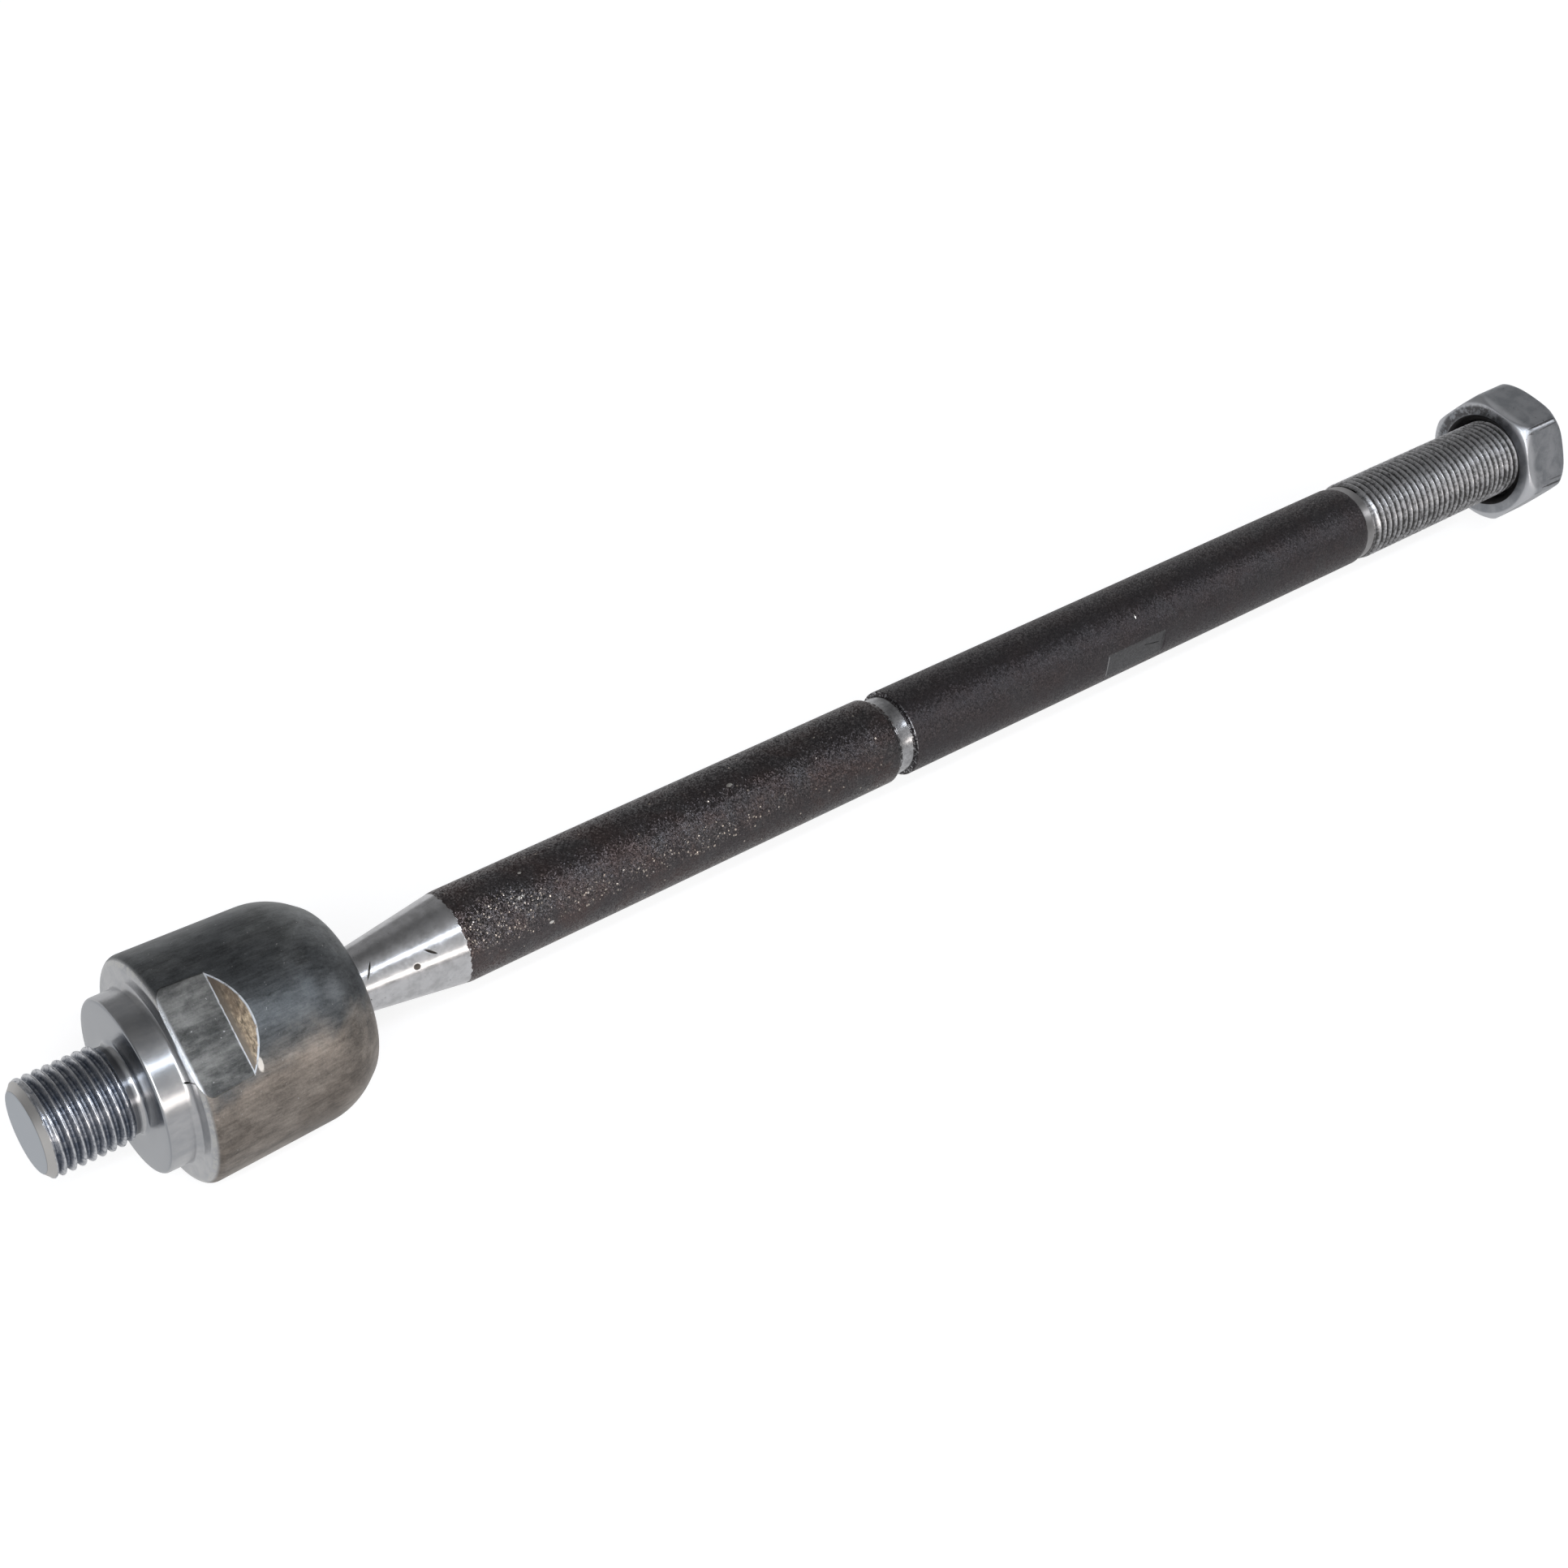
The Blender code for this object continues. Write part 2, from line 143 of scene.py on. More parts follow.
world = bpy.data.worlds.new("tent")
bpy.context.scene.world = world
world.use_nodes = True
tree = world.node_tree
direction = node(tree, "TexCoord")
parts = node(tree, "SeparateXYZ", {0: direction.outputs["Generated"]}).outputs
around = math(tree, "ARCTAN2", math(tree, "MULTIPLY", parts["Y"], -1.0), parts["Z"])
share = math(tree, "MULTIPLY_ADD", around, 0.5 / pi, 0.5)
tent = ramp(tree, share, [(0.0, 0.6), (0.22, 0.30), (0.27, 0.26), (0.35, 0.26), (0.40, 0.14),
                          (0.45, 0.17), (0.50, 0.27), (0.54, 0.45), (0.62, 0.55), (0.67, 0.72),
                          (0.73, 0.45), (0.755, 0.25), (0.79, 0.5), (1.0, 0.6)])
far_tent = ramp(tree, share, [(0.0, 0.6), (0.2, 0.95), (0.26, 0.85), (0.34, 0.55), (0.42, 0.26),
                              (0.5, 0.14), (0.6, 0.08), (0.7, 0.12), (0.78, 0.3), (1.0, 0.6)])
far_end = node(tree, "MapRange", {"Value": parts["X"], "From Min": 0.42, "From Max": 0.75})
background = tree.nodes["Background"]
tree.links.new(mixed(tree, far_end.outputs[0], tent, far_tent), background.inputs["Color"])
background.inputs["Strength"].default_value = 1.0
backdrop = node(tree, "Background", {"Color": (1, 1, 1, 1)})
seen = node(tree, "LightPath")
either_one = node(tree, "MixShader", {0: seen.outputs["Is Camera Ray"], 1: background.outputs[0],
                                      2: backdrop.outputs[0]})
tree.links.new(either_one.outputs[0], tree.nodes["World Output"].inputs["Surface"])


def strip_light(name, turn, lean, distance, length, width, colour, power):
    """A long soft light beside the rod; turn is round the rod, lean is along it, in degrees."""
    data = bpy.data.lights.new(name, "AREA")
    data.shape = "RECTANGLE"
    data.size = length
    data.size_y = width
    data.color = colour
    data.energy = power
    thing = bpy.data.objects.new(name, data)
    bpy.context.scene.collection.objects.link(thing)
    away = Vector((sin(radians(lean)), -cos(radians(lean)) * sin(radians(turn)),
                   cos(radians(lean)) * cos(radians(turn))))
    middle = Vector((0, 0, AXIS_HEIGHT))
    along = (Vector((1, 0, 0)) - away * away.x).normalized()
    turned = Matrix((along, away.cross(along), away)).transposed().to_4x4()
    thing.matrix_world = Matrix.Translation(middle + away * distance) @ turned


strip_light("cool_strip", 29, -14, 1.2, 1.8, 0.075, (0.84, 0.91, 1.0), 4.7)
strip_light("warm_strip", 76, -14, 1.1, 2.0, 0.2, (1.0, 0.93, 0.87), 3.9)
strip_light("end_strip", 38, 52, 1.7, 0.5, 0.17, (0.97, 0.98, 1.0), 3.0)
strip_light("near_panel", 48, -42, 1.3, 0.5, 0.8, (0.94, 0.97, 1.0), 4.0)


# Socket housing: one steel forging with a shank for the rack, turned on a lathe, milled with two
# flats for a wrench, and rolled in over the ball. Its shank and collar are bright and bare. The
# barrel is dark from heat and brushed lengthwise.
MM = 0.001
SHANK_END = housing_box[0][0]
SHANK_CORE = 6.0
RELIEF = 6.36
SEAT = 14.1
COLLAR = 12.75
BARREL_FRONT = 18.5
BARREL = 16.75
BARREL_FRONT_EDGE = 16.67
BARREL_TAPER = 0.034
BARREL_TILT = 1.9474
SHOULDER_LENGTH = 9.1
SHOULDER_ROUND = 11
LIP_ROUND = 4.8
LIP_START = 37
RIM = 46.6
BALL_CENTRE = 36.5
CAVITY = 12.55
CAVITY_FLOOR = 22.9
FLAT_TURN = radians(118.9 - 90)
FLAT_HEIGHT = 14.7
FLAT_END = 26.1
RUNOUT_SLOPE = 0.6


def at(along, radius=0.0, turn=0.0):
    """A point by its distance along the rod, radius and turn; turn is 0 at the top and grows
    towards the camera's side."""
    return Vector((SHANK_END + along * MM, -radius * MM * sin(turn),
                   AXIS_HEIGHT + radius * MM * cos(turn)))


def arc(centre, radius, start, stop, count):
    """Outline points on an arc, angles in degrees; 0 points away from the rod's axis."""
    turns = [radians(start + (stop - start) * step / count) for step in range(count + 1)]
    return [(centre[0] + radius * sin(turn), centre[1] + radius * cos(turn)) for turn in turns]


def dense(outline, longest):
    """The same outline with its long straight stretches split into shorter ones."""
    points = [outline[0]]
    for first, last in zip(outline, outline[1:]):
        length = sqrt((last[0] - first[0]) ** 2 + (last[1] - first[1]) ** 2)
        count = max(1, round(length / longest))
        points += [(first[0] + (last[0] - first[0]) * step / count,
                    first[1] + (last[1] - first[1]) * step / count)
                   for step in range(1, count + 1)]
    return points


def face_out(shape):
    """Turns a closed shape's faces outwards."""
    bmesh.ops.recalc_face_normals(shape, faces=shape.faces)
    if shape.calc_volume(signed=True) < 0:
        bmesh.ops.reverse_faces(shape, faces=shape.faces)


def spun(outline, steps):
    """A shape turned from an outline of distances along the rod and radii."""
    shape = bmesh.new()
    points = [shape.verts.new(at(along, radius)) for along, radius in outline]
    edges = [shape.edges.new(pair) for pair in zip(points, points[1:])]
    bmesh.ops.spin(shape, geom=points + edges, cent=at(0), axis=(1, 0, 0), dvec=(0, 0, 0),
                   angle=2 * pi, steps=steps, use_merge=True)
    bmesh.ops.remove_doubles(shape, verts=shape.verts, dist=0.0005 * MM)
    face_out(shape)
    return shape


def carve(shape, cutters, name):
    """Cuts closed shapes out of another with the exact solver."""
    mesh = bpy.data.meshes.new(name)
    shape.to_mesh(mesh)
    shape.free()
    thing = bpy.data.objects.new(name, mesh)
    bpy.context.scene.collection.objects.link(thing)
    tools = []
    for index, cutter in enumerate(cutters):
        tool_mesh = bpy.data.meshes.new(f"{name}_tool_{index}")
        cutter.to_mesh(tool_mesh)
        cutter.free()
        tool = bpy.data.objects.new(f"{name}_tool_{index}", tool_mesh)
        bpy.context.scene.collection.objects.link(tool)
        modifier = thing.modifiers.new(tool.name, "BOOLEAN")
        modifier.operation = "DIFFERENCE"
        modifier.solver = "EXACT"
        modifier.object = tool
        tools.append(tool)
    graph = bpy.context.evaluated_depsgraph_get()
    result = bmesh.new()
    result.from_mesh(thing.evaluated_get(graph).to_mesh())
    for extra in tools + [thing]:
        bpy.data.objects.remove(extra)
    return result


def wedge(outline, turn, width):
    """A cutter with its outline of distances along the rod and heights, turned round the rod."""
    shape = bmesh.new()
    across = Vector((0, cos(turn), sin(turn)))
    points = [shape.verts.new(at(along, height, turn) - across * width * MM / 2)
              for along, height in outline]
    face = shape.faces.new(points)
    grown = bmesh.ops.extrude_face_region(shape, geom=[face])
    moved = [item for item in grown["geom"] if isinstance(item, bmesh.types.BMVert)]
    bmesh.ops.translate(shape, verts=moved, vec=across * width * MM)
    face_out(shape)
    return shape


def blunt(shape, width, crease, box):
    """Breaks the sharp edges whose middle lies in a range of distances and radii."""
    shape.normal_update()
    chosen = []
    for edge in shape.edges:
        if len(edge.link_faces) != 2 or edge.calc_face_angle() < radians(crease):
            continue
        middle = (edge.verts[0].co + edge.verts[1].co) / 2
        along = (middle.x - SHANK_END) / MM
        radius = sqrt(middle.y ** 2 + (middle.z - AXIS_HEIGHT) ** 2) / MM
        if box[0] < along < box[1] and box[2] < radius < box[3]:
            chosen.append(edge)
    bmesh.ops.bevel(shape, geom=chosen, offset=width * MM, segments=2, profile=0.5,
                    affect="EDGES", clamp_overlap=True, material=-1)


housing_outline = [(0.0, 0.0), (0.0, 5.65)] + arc((0.45, 5.65), 0.45, -90, -42, 6)[1:]
housing_outline += [(1.0, 6.92), (1.12, 6.6), (1.3, SHANK_CORE), (11.6, SHANK_CORE), (12.4, 6.33),
                    (12.7, RELIEF), (13.3, RELIEF)]
housing_outline += arc((SEAT - 0.8, RELIEF + 0.8), 0.8, 180, 90, 6)[1:]
housing_outline += arc((SEAT + 0.55, COLLAR - 0.55), 0.55, -90, 0, 8)
housing_outline += arc((BARREL_FRONT - 0.9, COLLAR + 0.9), 0.9, 180, 90, 10)
housing_outline += arc((BARREL_FRONT + 1.6, BARREL_FRONT_EDGE - 1.6), 1.6, -90, 0, 14)
shoulder_start = RIM - SHOULDER_LENGTH
top = BARREL - BARREL_TAPER * (shoulder_start - BARREL_FRONT)
tilt = radians(BARREL_TILT)
shoulder = (shoulder_start - SHOULDER_ROUND * sin(tilt), top - SHOULDER_ROUND * cos(tilt))
wide = arc(shoulder, SHOULDER_ROUND, BARREL_TILT, LIP_START, 16)
lip_turn = radians(LIP_START)
lip_middle = RIM - LIP_ROUND
lip_top = wide[-1][1] - (lip_middle + LIP_ROUND * sin(lip_turn) - wide[-1][0]) * tan(lip_turn)
lip = arc((lip_middle, lip_top - LIP_ROUND * cos(lip_turn)), LIP_ROUND, LIP_START, 86, 12)
housing_outline += wide + lip
rim_radius = lip[-1][1]
housing_outline += [(RIM, rim_radius - 0.12), (RIM - 0.1, rim_radius - 0.32)]
housing_outline += [(RIM - 1.2, rim_radius - 0.5)]
housing_outline += arc((BALL_CENTRE, 0), CAVITY, 45, 0, 14)
housing_outline += [(CAVITY_FLOOR, CAVITY), (CAVITY_FLOOR, 0.0)]
flats = [wedge([(17.2, FLAT_HEIGHT), (FLAT_END, FLAT_HEIGHT), (FLAT_END + 6.66, FLAT_HEIGHT + 4),
                (17.2, FLAT_HEIGHT + 4)], FLAT_TURN + side * pi, 50) for side in range(2)]
housing = carve(spun(dense(housing_outline, 1.5), 240), flats, "housing")
blunt(housing, 0.17, 8, (18.4, 31.5, 12.9, 17.2))
for face in housing.faces:
    middle = face.calc_center_median()
    height = abs(middle.y * -sin(FLAT_TURN) + (middle.z - AXIS_HEIGHT) * cos(FLAT_TURN)) / MM
    lean = abs(face.normal.y * -sin(FLAT_TURN) + face.normal.z * cos(FLAT_TURN))
    past = (middle.x - SHANK_END) / MM - FLAT_END
    sloped = abs(height - FLAT_HEIGHT - past * RUNOUT_SLOPE) < 0.08 and face.normal.x < -0.4
    if past > 0.05 and sloped:
        face.material_index = 1
    elif past > -0.2 and height > FLAT_HEIGHT - 0.15 and lean < 0.995:
        if face.calc_area() < 0.4 * MM * MM and -0.4 < face.normal.x < -0.12:
            face.material_index = 2


def step(tree, value, low, high):
    """A mask that rises from 0 at low to 1 at high, or falls where high is the lower one."""
    made = node(tree, "MapRange", {"Value": value, "From Min": low, "From Max": high},
                interpolation_type="SMOOTHSTEP")
    return made.outputs[0]


def band(tree, value, low, high, soft):
    """A mask that is 1 between low and high and fades out over twice soft at each end."""
    rise = step(tree, value, low - soft, low + soft)
    return math(tree, "MULTIPLY", rise, step(tree, value, high + soft, high - soft))


def blended(tree, factor, first, second):
    """A number between two numbers."""
    made = node(tree, "Mix", {0: factor, 2: first, 3: second}, data_type="FLOAT")
    return made.outputs[0]


def noise_at(tree, vector, scale, detail=4.0, rough=0.5, twist=0.0):
    """Cloudy random values about 0.5."""
    made = node(tree, "TexNoise", {"Vector": vector, "Scale": scale, "Detail": detail,
                                   "Roughness": rough, "Distortion": twist})
    return made.outputs[0]


def stretched(tree, vector, along, across):
    """Places scaled differently along the rod and across it, for marks that run one way."""
    made = node(tree, "Mapping", {"Vector": vector, "Scale": (along, across, across)},
                vector_type="POINT")
    return made.outputs[0]


def group(name, outputs):
    """An empty node group with the named outputs, whose types are given by letters."""
    kinds = {"v": "NodeSocketFloat", "p": "NodeSocketVector"}
    tree = bpy.data.node_groups.new(name, "ShaderNodeTree")
    for label, kind in outputs.items():
        tree.interface.new_socket(label, in_out="OUTPUT", socket_type=kinds[kind])
    return tree, tree.nodes.new("NodeGroupOutput")


# Where a point lies on the rod: mm along it from the shank's end, mm from its axis, turn from
# the top in radians towards the camera's side, and the same place in mm for textures
rod_place, place_out = group("rod_place", {"Along": "v", "Radius": "v", "Turn": "v", "Spot": "p"})
spot = node(rod_place, "VectorMath", {0: node(rod_place, "TexCoord").outputs["Object"],
                                      1: (SHANK_END, 0, AXIS_HEIGHT)}, operation="SUBTRACT")
spot = node(rod_place, "VectorMath", {0: spot.outputs[0], "Scale": 1000.0}, operation="SCALE")
axes = node(rod_place, "SeparateXYZ", {0: spot.outputs[0]})
across = node(rod_place, "CombineXYZ", {1: axes.outputs["Y"], 2: axes.outputs["Z"]})
radius = node(rod_place, "VectorMath", {0: across.outputs[0]}, operation="LENGTH")
turn = math(rod_place, "ARCTAN2", math(rod_place, "MULTIPLY", axes.outputs["Y"], -1.0),
            axes.outputs["Z"])
rod_place.links.new(axes.outputs["X"], place_out.inputs["Along"])
rod_place.links.new(radius.outputs["Value"], place_out.inputs["Radius"])
rod_place.links.new(turn, place_out.inputs["Turn"])
rod_place.links.new(spot.outputs[0], place_out.inputs["Spot"])


def surface(name):
    """A new material: its tree, its shader, and the group that says where a point is."""
    made = bpy.data.materials.new(name)
    made.use_nodes = True
    tree = made.node_tree
    where = tree.nodes.new("ShaderNodeGroup")
    where.node_tree = rod_place
    return made, tree, tree.nodes["Principled BSDF"], where.outputs


def mark(tree, where, along, turn, long, wide, lean=0.0, ragged=0.0):
    """A mask of one oval mark on the rod: its middle, its half sizes in mm, and its lean."""
    ahead = math(tree, "SUBTRACT", where["Along"], along)
    beside = math(tree, "MULTIPLY", math(tree, "SUBTRACT", where["Turn"], radians(turn)),
                  where["Radius"])
    c, s = cos(radians(lean)), sin(radians(lean))
    first = math(tree, "ADD", math(tree, "MULTIPLY", ahead, c / long),
                 math(tree, "MULTIPLY", beside, s / long))
    second = math(tree, "ADD", math(tree, "MULTIPLY", ahead, -s / wide),
                  math(tree, "MULTIPLY", beside, c / wide))
    reach = math(tree, "SQRT", math(tree, "ADD", math(tree, "MULTIPLY", first, first),
                                    math(tree, "MULTIPLY", second, second)))
    if ragged:
        rough = noise_at(tree, where["Spot"], 1.6, 4, 0.7)
        reach = math(tree, "ADD", reach, math(tree, "MULTIPLY_ADD", rough, ragged, -ragged / 2))
    return step(tree, reach, 1.15, 0.75)


def either(tree, first, *others):
    """The larger of several masks."""
    for other in others:
        first = math(tree, "MAXIMUM", first, other)
    return first


def bumped(tree, height, distance, strength=1.0, normal=None):
    """The normal of a surface with a fine relief; distance is its depth in mm."""
    inputs = {"Height": height, "Distance": distance * MM, "Strength": strength}
    if normal:
        inputs["Normal"] = normal
    return node(tree, "Bump", inputs).outputs[0]


# Its finish: bare at the front, with fine rings from the lathe, and dark and cloudy behind
housing_steel, tree, shader, where = surface("housing_steel")
along, radius, turn, spot = (where[label] for label in ("Along", "Radius", "Turn", "Spot"))
barrel = step(tree, along, BARREL_FRONT + 0.25, BARREL_FRONT + 0.8)
smudge = noise_at(tree, spot, 0.09, 5, 0.6, 0.4)
cloud = noise_at(tree, stretched(tree, spot, 0.5, 1.0), 0.35, 6, 0.65)
brush = noise_at(tree, stretched(tree, spot, 0.3, 2.6), 1.0, 5, 0.7)
rings = noise_at(tree, stretched(tree, spot, 14.0, 0.15), 1.0, 2, 0.5)
face_rings = node(tree, "TexNoise", {"W": math(tree, "MULTIPLY", radius, 9.0), "Scale": 1.0,
                                     "Detail": 2.0}, noise_dimensions="1D").outputs[0]
bare = mixed(tree, step(tree, cloud, 0.3, 0.75), (0.43, 0.44, 0.46, 1), (0.56, 0.56, 0.57, 1))
# Painted shade: the relief groove in front of the collar is painted dark.
relief = step(tree, along, SEAT - 0.75, SEAT - 1.1)
bare = mixed(tree, relief, bare, (0.17, 0.175, 0.19, 1))
on_face = band(tree, along, SEAT - 0.3, SEAT + 0.15, 0.05)
end_face = step(tree, along, 0.12, 0.02)
bare = mixed(tree, on_face, bare, (0.37, 0.385, 0.41, 1))
bare = mixed(tree, end_face, bare, (0.52, 0.55, 0.59, 1))
blue = mixed(tree, step(tree, smudge, 0.4, 0.62),
             (0.128, 0.136, 0.143, 1), (0.184, 0.192, 0.196, 1))
brown = mixed(tree, step(tree, smudge, 0.38, 0.6), (0.18, 0.155, 0.135, 1),
              (0.27, 0.24, 0.215, 1))
# Partly painted light: the barrel's lower side is tinted brown and its upper side blue-grey, a
# heat tint that also stands in for the warm light falling on the lower side.
facing = math(tree, "COSINE", math(tree, "SUBTRACT", turn, radians(112)))
low = step(tree, math(tree, "ADD", facing, math(tree, "MULTIPLY", math(tree, "SUBTRACT", smudge,
           0.5), 2.0)), 0.25, 0.85)
skin = mixed(tree, low, blue, brown)
long_brush = noise_at(tree, stretched(tree, spot, 0.16, 1.5), 1.0, 4, 0.6)
mottled = noise_at(tree, stretched(tree, spot, 0.7, 1.2), 0.3, 7, 0.75, 0.3)
fine = noise_at(tree, spot, 3.6, 3, 0.75)
streaks = math(tree, "MULTIPLY_ADD", brush, 1.0, -1.5)
streaks = math(tree, "ADD", streaks, math(tree, "MULTIPLY", cloud, 0.8))
streaks = math(tree, "ADD", streaks, math(tree, "MULTIPLY", long_brush, 0.5))
streaks = math(tree, "ADD", streaks, math(tree, "MULTIPLY", mottled, 1.9))
streaks = math(tree, "ADD", streaks, math(tree, "MULTIPLY", fine, 0.8))
level = math(tree, "MULTIPLY", radius, math(tree, "COSINE", math(tree, "SUBTRACT", turn,
             FLAT_TURN)))
flat = band(tree, math(tree, "ABSOLUTE", level), FLAT_HEIGHT - 0.07, FLAT_HEIGHT + 0.07, 0.03)
flat = math(tree, "MULTIPLY", flat, barrel)
flat = math(tree, "MULTIPLY", flat, step(tree, along, FLAT_END + 0.15, FLAT_END - 0.1))
olive = mixed(tree, step(tree, cloud, 0.35, 0.65),
              (0.088, 0.088, 0.086, 1), (0.175, 0.172, 0.165, 1))
skin = mixed(tree, flat, skin, olive)
# Partly painted highlight: the ridge where the flat ends is a rubbed edge, painted light grey and
# less metallic so that it shows as a bright line.
wavy = math(tree, "ADD", along, math(tree, "MULTIPLY", noise_at(tree, spot, 1.2, 3, 0.6), 0.25))
ridge = math(tree, "MULTIPLY", flat, step(tree, wavy, FLAT_END - 0.02, FLAT_END + 0.1))
skin = mixed(tree, ridge, skin, (0.42, 0.43, 0.44, 1))
skin = node(tree, "Mix", {0: 1.0, 6: skin, 7: streaks}, data_type="RGBA",
            blend_type="MULTIPLY").outputs[2]
nicks = step(tree, noise_at(tree, spot, 1.9, 2, 0.5), 0.73, 0.78)
skin = mixed(tree, math(tree, "MULTIPLY", nicks, 0.7), skin, (0.62, 0.62, 0.62, 1))
chamfer = band(tree, along, 0.1, 1.05, 0.05)
bare = mixed(tree, chamfer, bare, (0.56, 0.55, 0.54, 1))
colour = mixed(tree, barrel, bare, skin)
tick = mark(tree, where, 18.25, 48.5, 0.36, 0.15, 15)
# Partly painted highlight: a broken light line along the barrel's front edge, on an edge worn
# bright.
white_rim = band(tree, along, BARREL_FRONT + 0.08, BARREL_FRONT + 0.45, 0.06)
white_rim = math(tree, "MULTIPLY", white_rim,
                 step(tree, noise_at(tree, spot, 1.1, 4, 0.7), 0.42, 0.58))
colour = mixed(tree, white_rim, colour, (0.55, 0.55, 0.54, 1))
colour = mixed(tree, tick, colour, (0.01, 0.01, 0.01, 1))
# Painted highlight: a whitish glint painted at the lower tip of the flat's run-out.
painted_glint = math(tree, "MULTIPLY", mark(tree, where, 27.2, 52.6, 0.42, 1.1, 4, 0.5), 0.85)
colour = mixed(tree, painted_glint, colour, (0.82, 0.80, 0.77, 1))
tree.links.new(colour, shader.inputs["Base Color"])
tree.links.new(blended(tree, ridge, 1.0, 0.4), shader.inputs["Metallic"])
rough_bare = blended(tree, on_face, blended(tree, end_face, 0.2, 0.45), 0.13)
rough_bare = math(tree, "ADD", rough_bare, math(tree, "MULTIPLY", cloud, 0.08))
rough_bare = math(tree, "MAXIMUM", rough_bare, math(tree, "MULTIPLY", chamfer, 0.36))
rough_skin = math(tree, "MULTIPLY_ADD", brush, 0.25, 0.3)
tree.links.new(blended(tree, barrel, rough_bare, rough_skin), shader.inputs["Roughness"])
lines = math(tree, "ADD", math(tree, "MULTIPLY", brush, 0.9), math(tree, "MULTIPLY", fine, 0.8))
height = blended(tree, barrel, math(tree, "ADD", rings, face_rings), lines)
tree.links.new(bumped(tree, height, 0.012, 0.8), shader.inputs["Normal"])

# Sloped run-out of the wrench flat, where the cutter left coarse marks and a straw tint
runout_steel, tree, shader, where = surface("runout_steel")
marks = noise_at(tree, stretched(tree, where["Spot"], 3.4, 0.9), 1.0, 4, 0.65)
patch = noise_at(tree, where["Spot"], 0.45, 4, 0.6)
runout_colour = mixed(tree, step(tree, marks, 0.35, 0.68),
              (0.06, 0.048, 0.037, 1), (0.36, 0.285, 0.20, 1))
runout_colour = mixed(tree, step(tree, patch, 0.62, 0.36), runout_colour, (0.12, 0.09, 0.065, 1))
far = step(tree, where["Along"], FLAT_END + 0.3, FLAT_END + 1.2)
runout_colour = mixed(tree, far, (0.10, 0.085, 0.07, 1), runout_colour)
# Partly painted highlight: a bluish-white rim along the run-out's curved edge and its end,
# painted on an edge worn bright.
lifted = math(tree, "MULTIPLY_ADD", where["Along"], BARREL_TAPER, where["Radius"])
rim = math(tree, "ADD", lifted, math(tree, "MULTIPLY", patch, 0.12))
rim = math(tree, "MAXIMUM", step(tree, rim, 17.24, 17.34),
           step(tree, where["Along"], FLAT_END + 0.12, FLAT_END + 0.06))
rim = math(tree, "MULTIPLY", rim,
           step(tree, noise_at(tree, where["Spot"], 1.0, 3, 0.6), 0.28, 0.5))
shaded = math(tree, "MULTIPLY", step(tree, where["Turn"], radians(28), radians(6)), 0.75)
runout_colour = mixed(tree, shaded, runout_colour, (0.09, 0.072, 0.058, 1))
runout_colour = mixed(tree, rim, runout_colour, (0.38, 0.40, 0.43, 1))
tree.links.new(runout_colour, shader.inputs["Base Color"])
tree.links.new(blended(tree, rim, 1.0, 0.4), shader.inputs["Metallic"])
shader.inputs["Roughness"].default_value = 0.38
tree.links.new(bumped(tree, marks, 0.05, 0.8), shader.inputs["Normal"])

# Broken edges of the flat and its run-out, rubbed bright, and painted whitish and less metallic
# as a painted highlight that shows from every side
edge_steel, tree, shader, where = surface("edge_steel")
wear_and_glint = noise_at(tree, where["Spot"], 1.3, 3, 0.6)
tree.links.new(mixed(tree, step(tree, wear_and_glint, 0.36, 0.56), (0.20, 0.20, 0.20, 1),
                     (0.80, 0.81, 0.83, 1)), shader.inputs["Base Color"])
shader.inputs["Metallic"].default_value = 0.35
shader.inputs["Roughness"].default_value = 0.3
tree.links.new(bumped(tree, wear_and_glint, 0.05, 0.5), shader.inputs["Normal"])


def piece(name, shape, body, coverings, sharp=32, stands_for=None):
    """Makes a shape a finished object that rides on its body."""
    mesh = bpy.data.meshes.new(name)
    shape.to_mesh(mesh)
    shape.free()
    thing = bpy.data.objects.new(name, mesh)
    bpy.context.scene.collection.objects.link(thing)
    for covering in coverings:
        mesh.materials.append(covering)
    mesh.shade_smooth()
    mesh.set_sharp_from_angle(angle=radians(sharp))
    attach(thing, body)
    if stands_for:
        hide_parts(stands_for)


piece("housing", housing, "socket", [housing_steel, runout_steel, edge_steel],
      stands_for="socket_housing")


# Shank thread: 9/16-18 UNF, rolled on to the shank to screw into the rack. It is steel with
# bright crests and dirt in its roots, and is laid as a sheet round the housing's plain core.
PITCH = 25.4 / 18
SHANK_CREST = 7.09
SHANK_ROOT = 6.3
SHANK_RUNOUT = 12.75


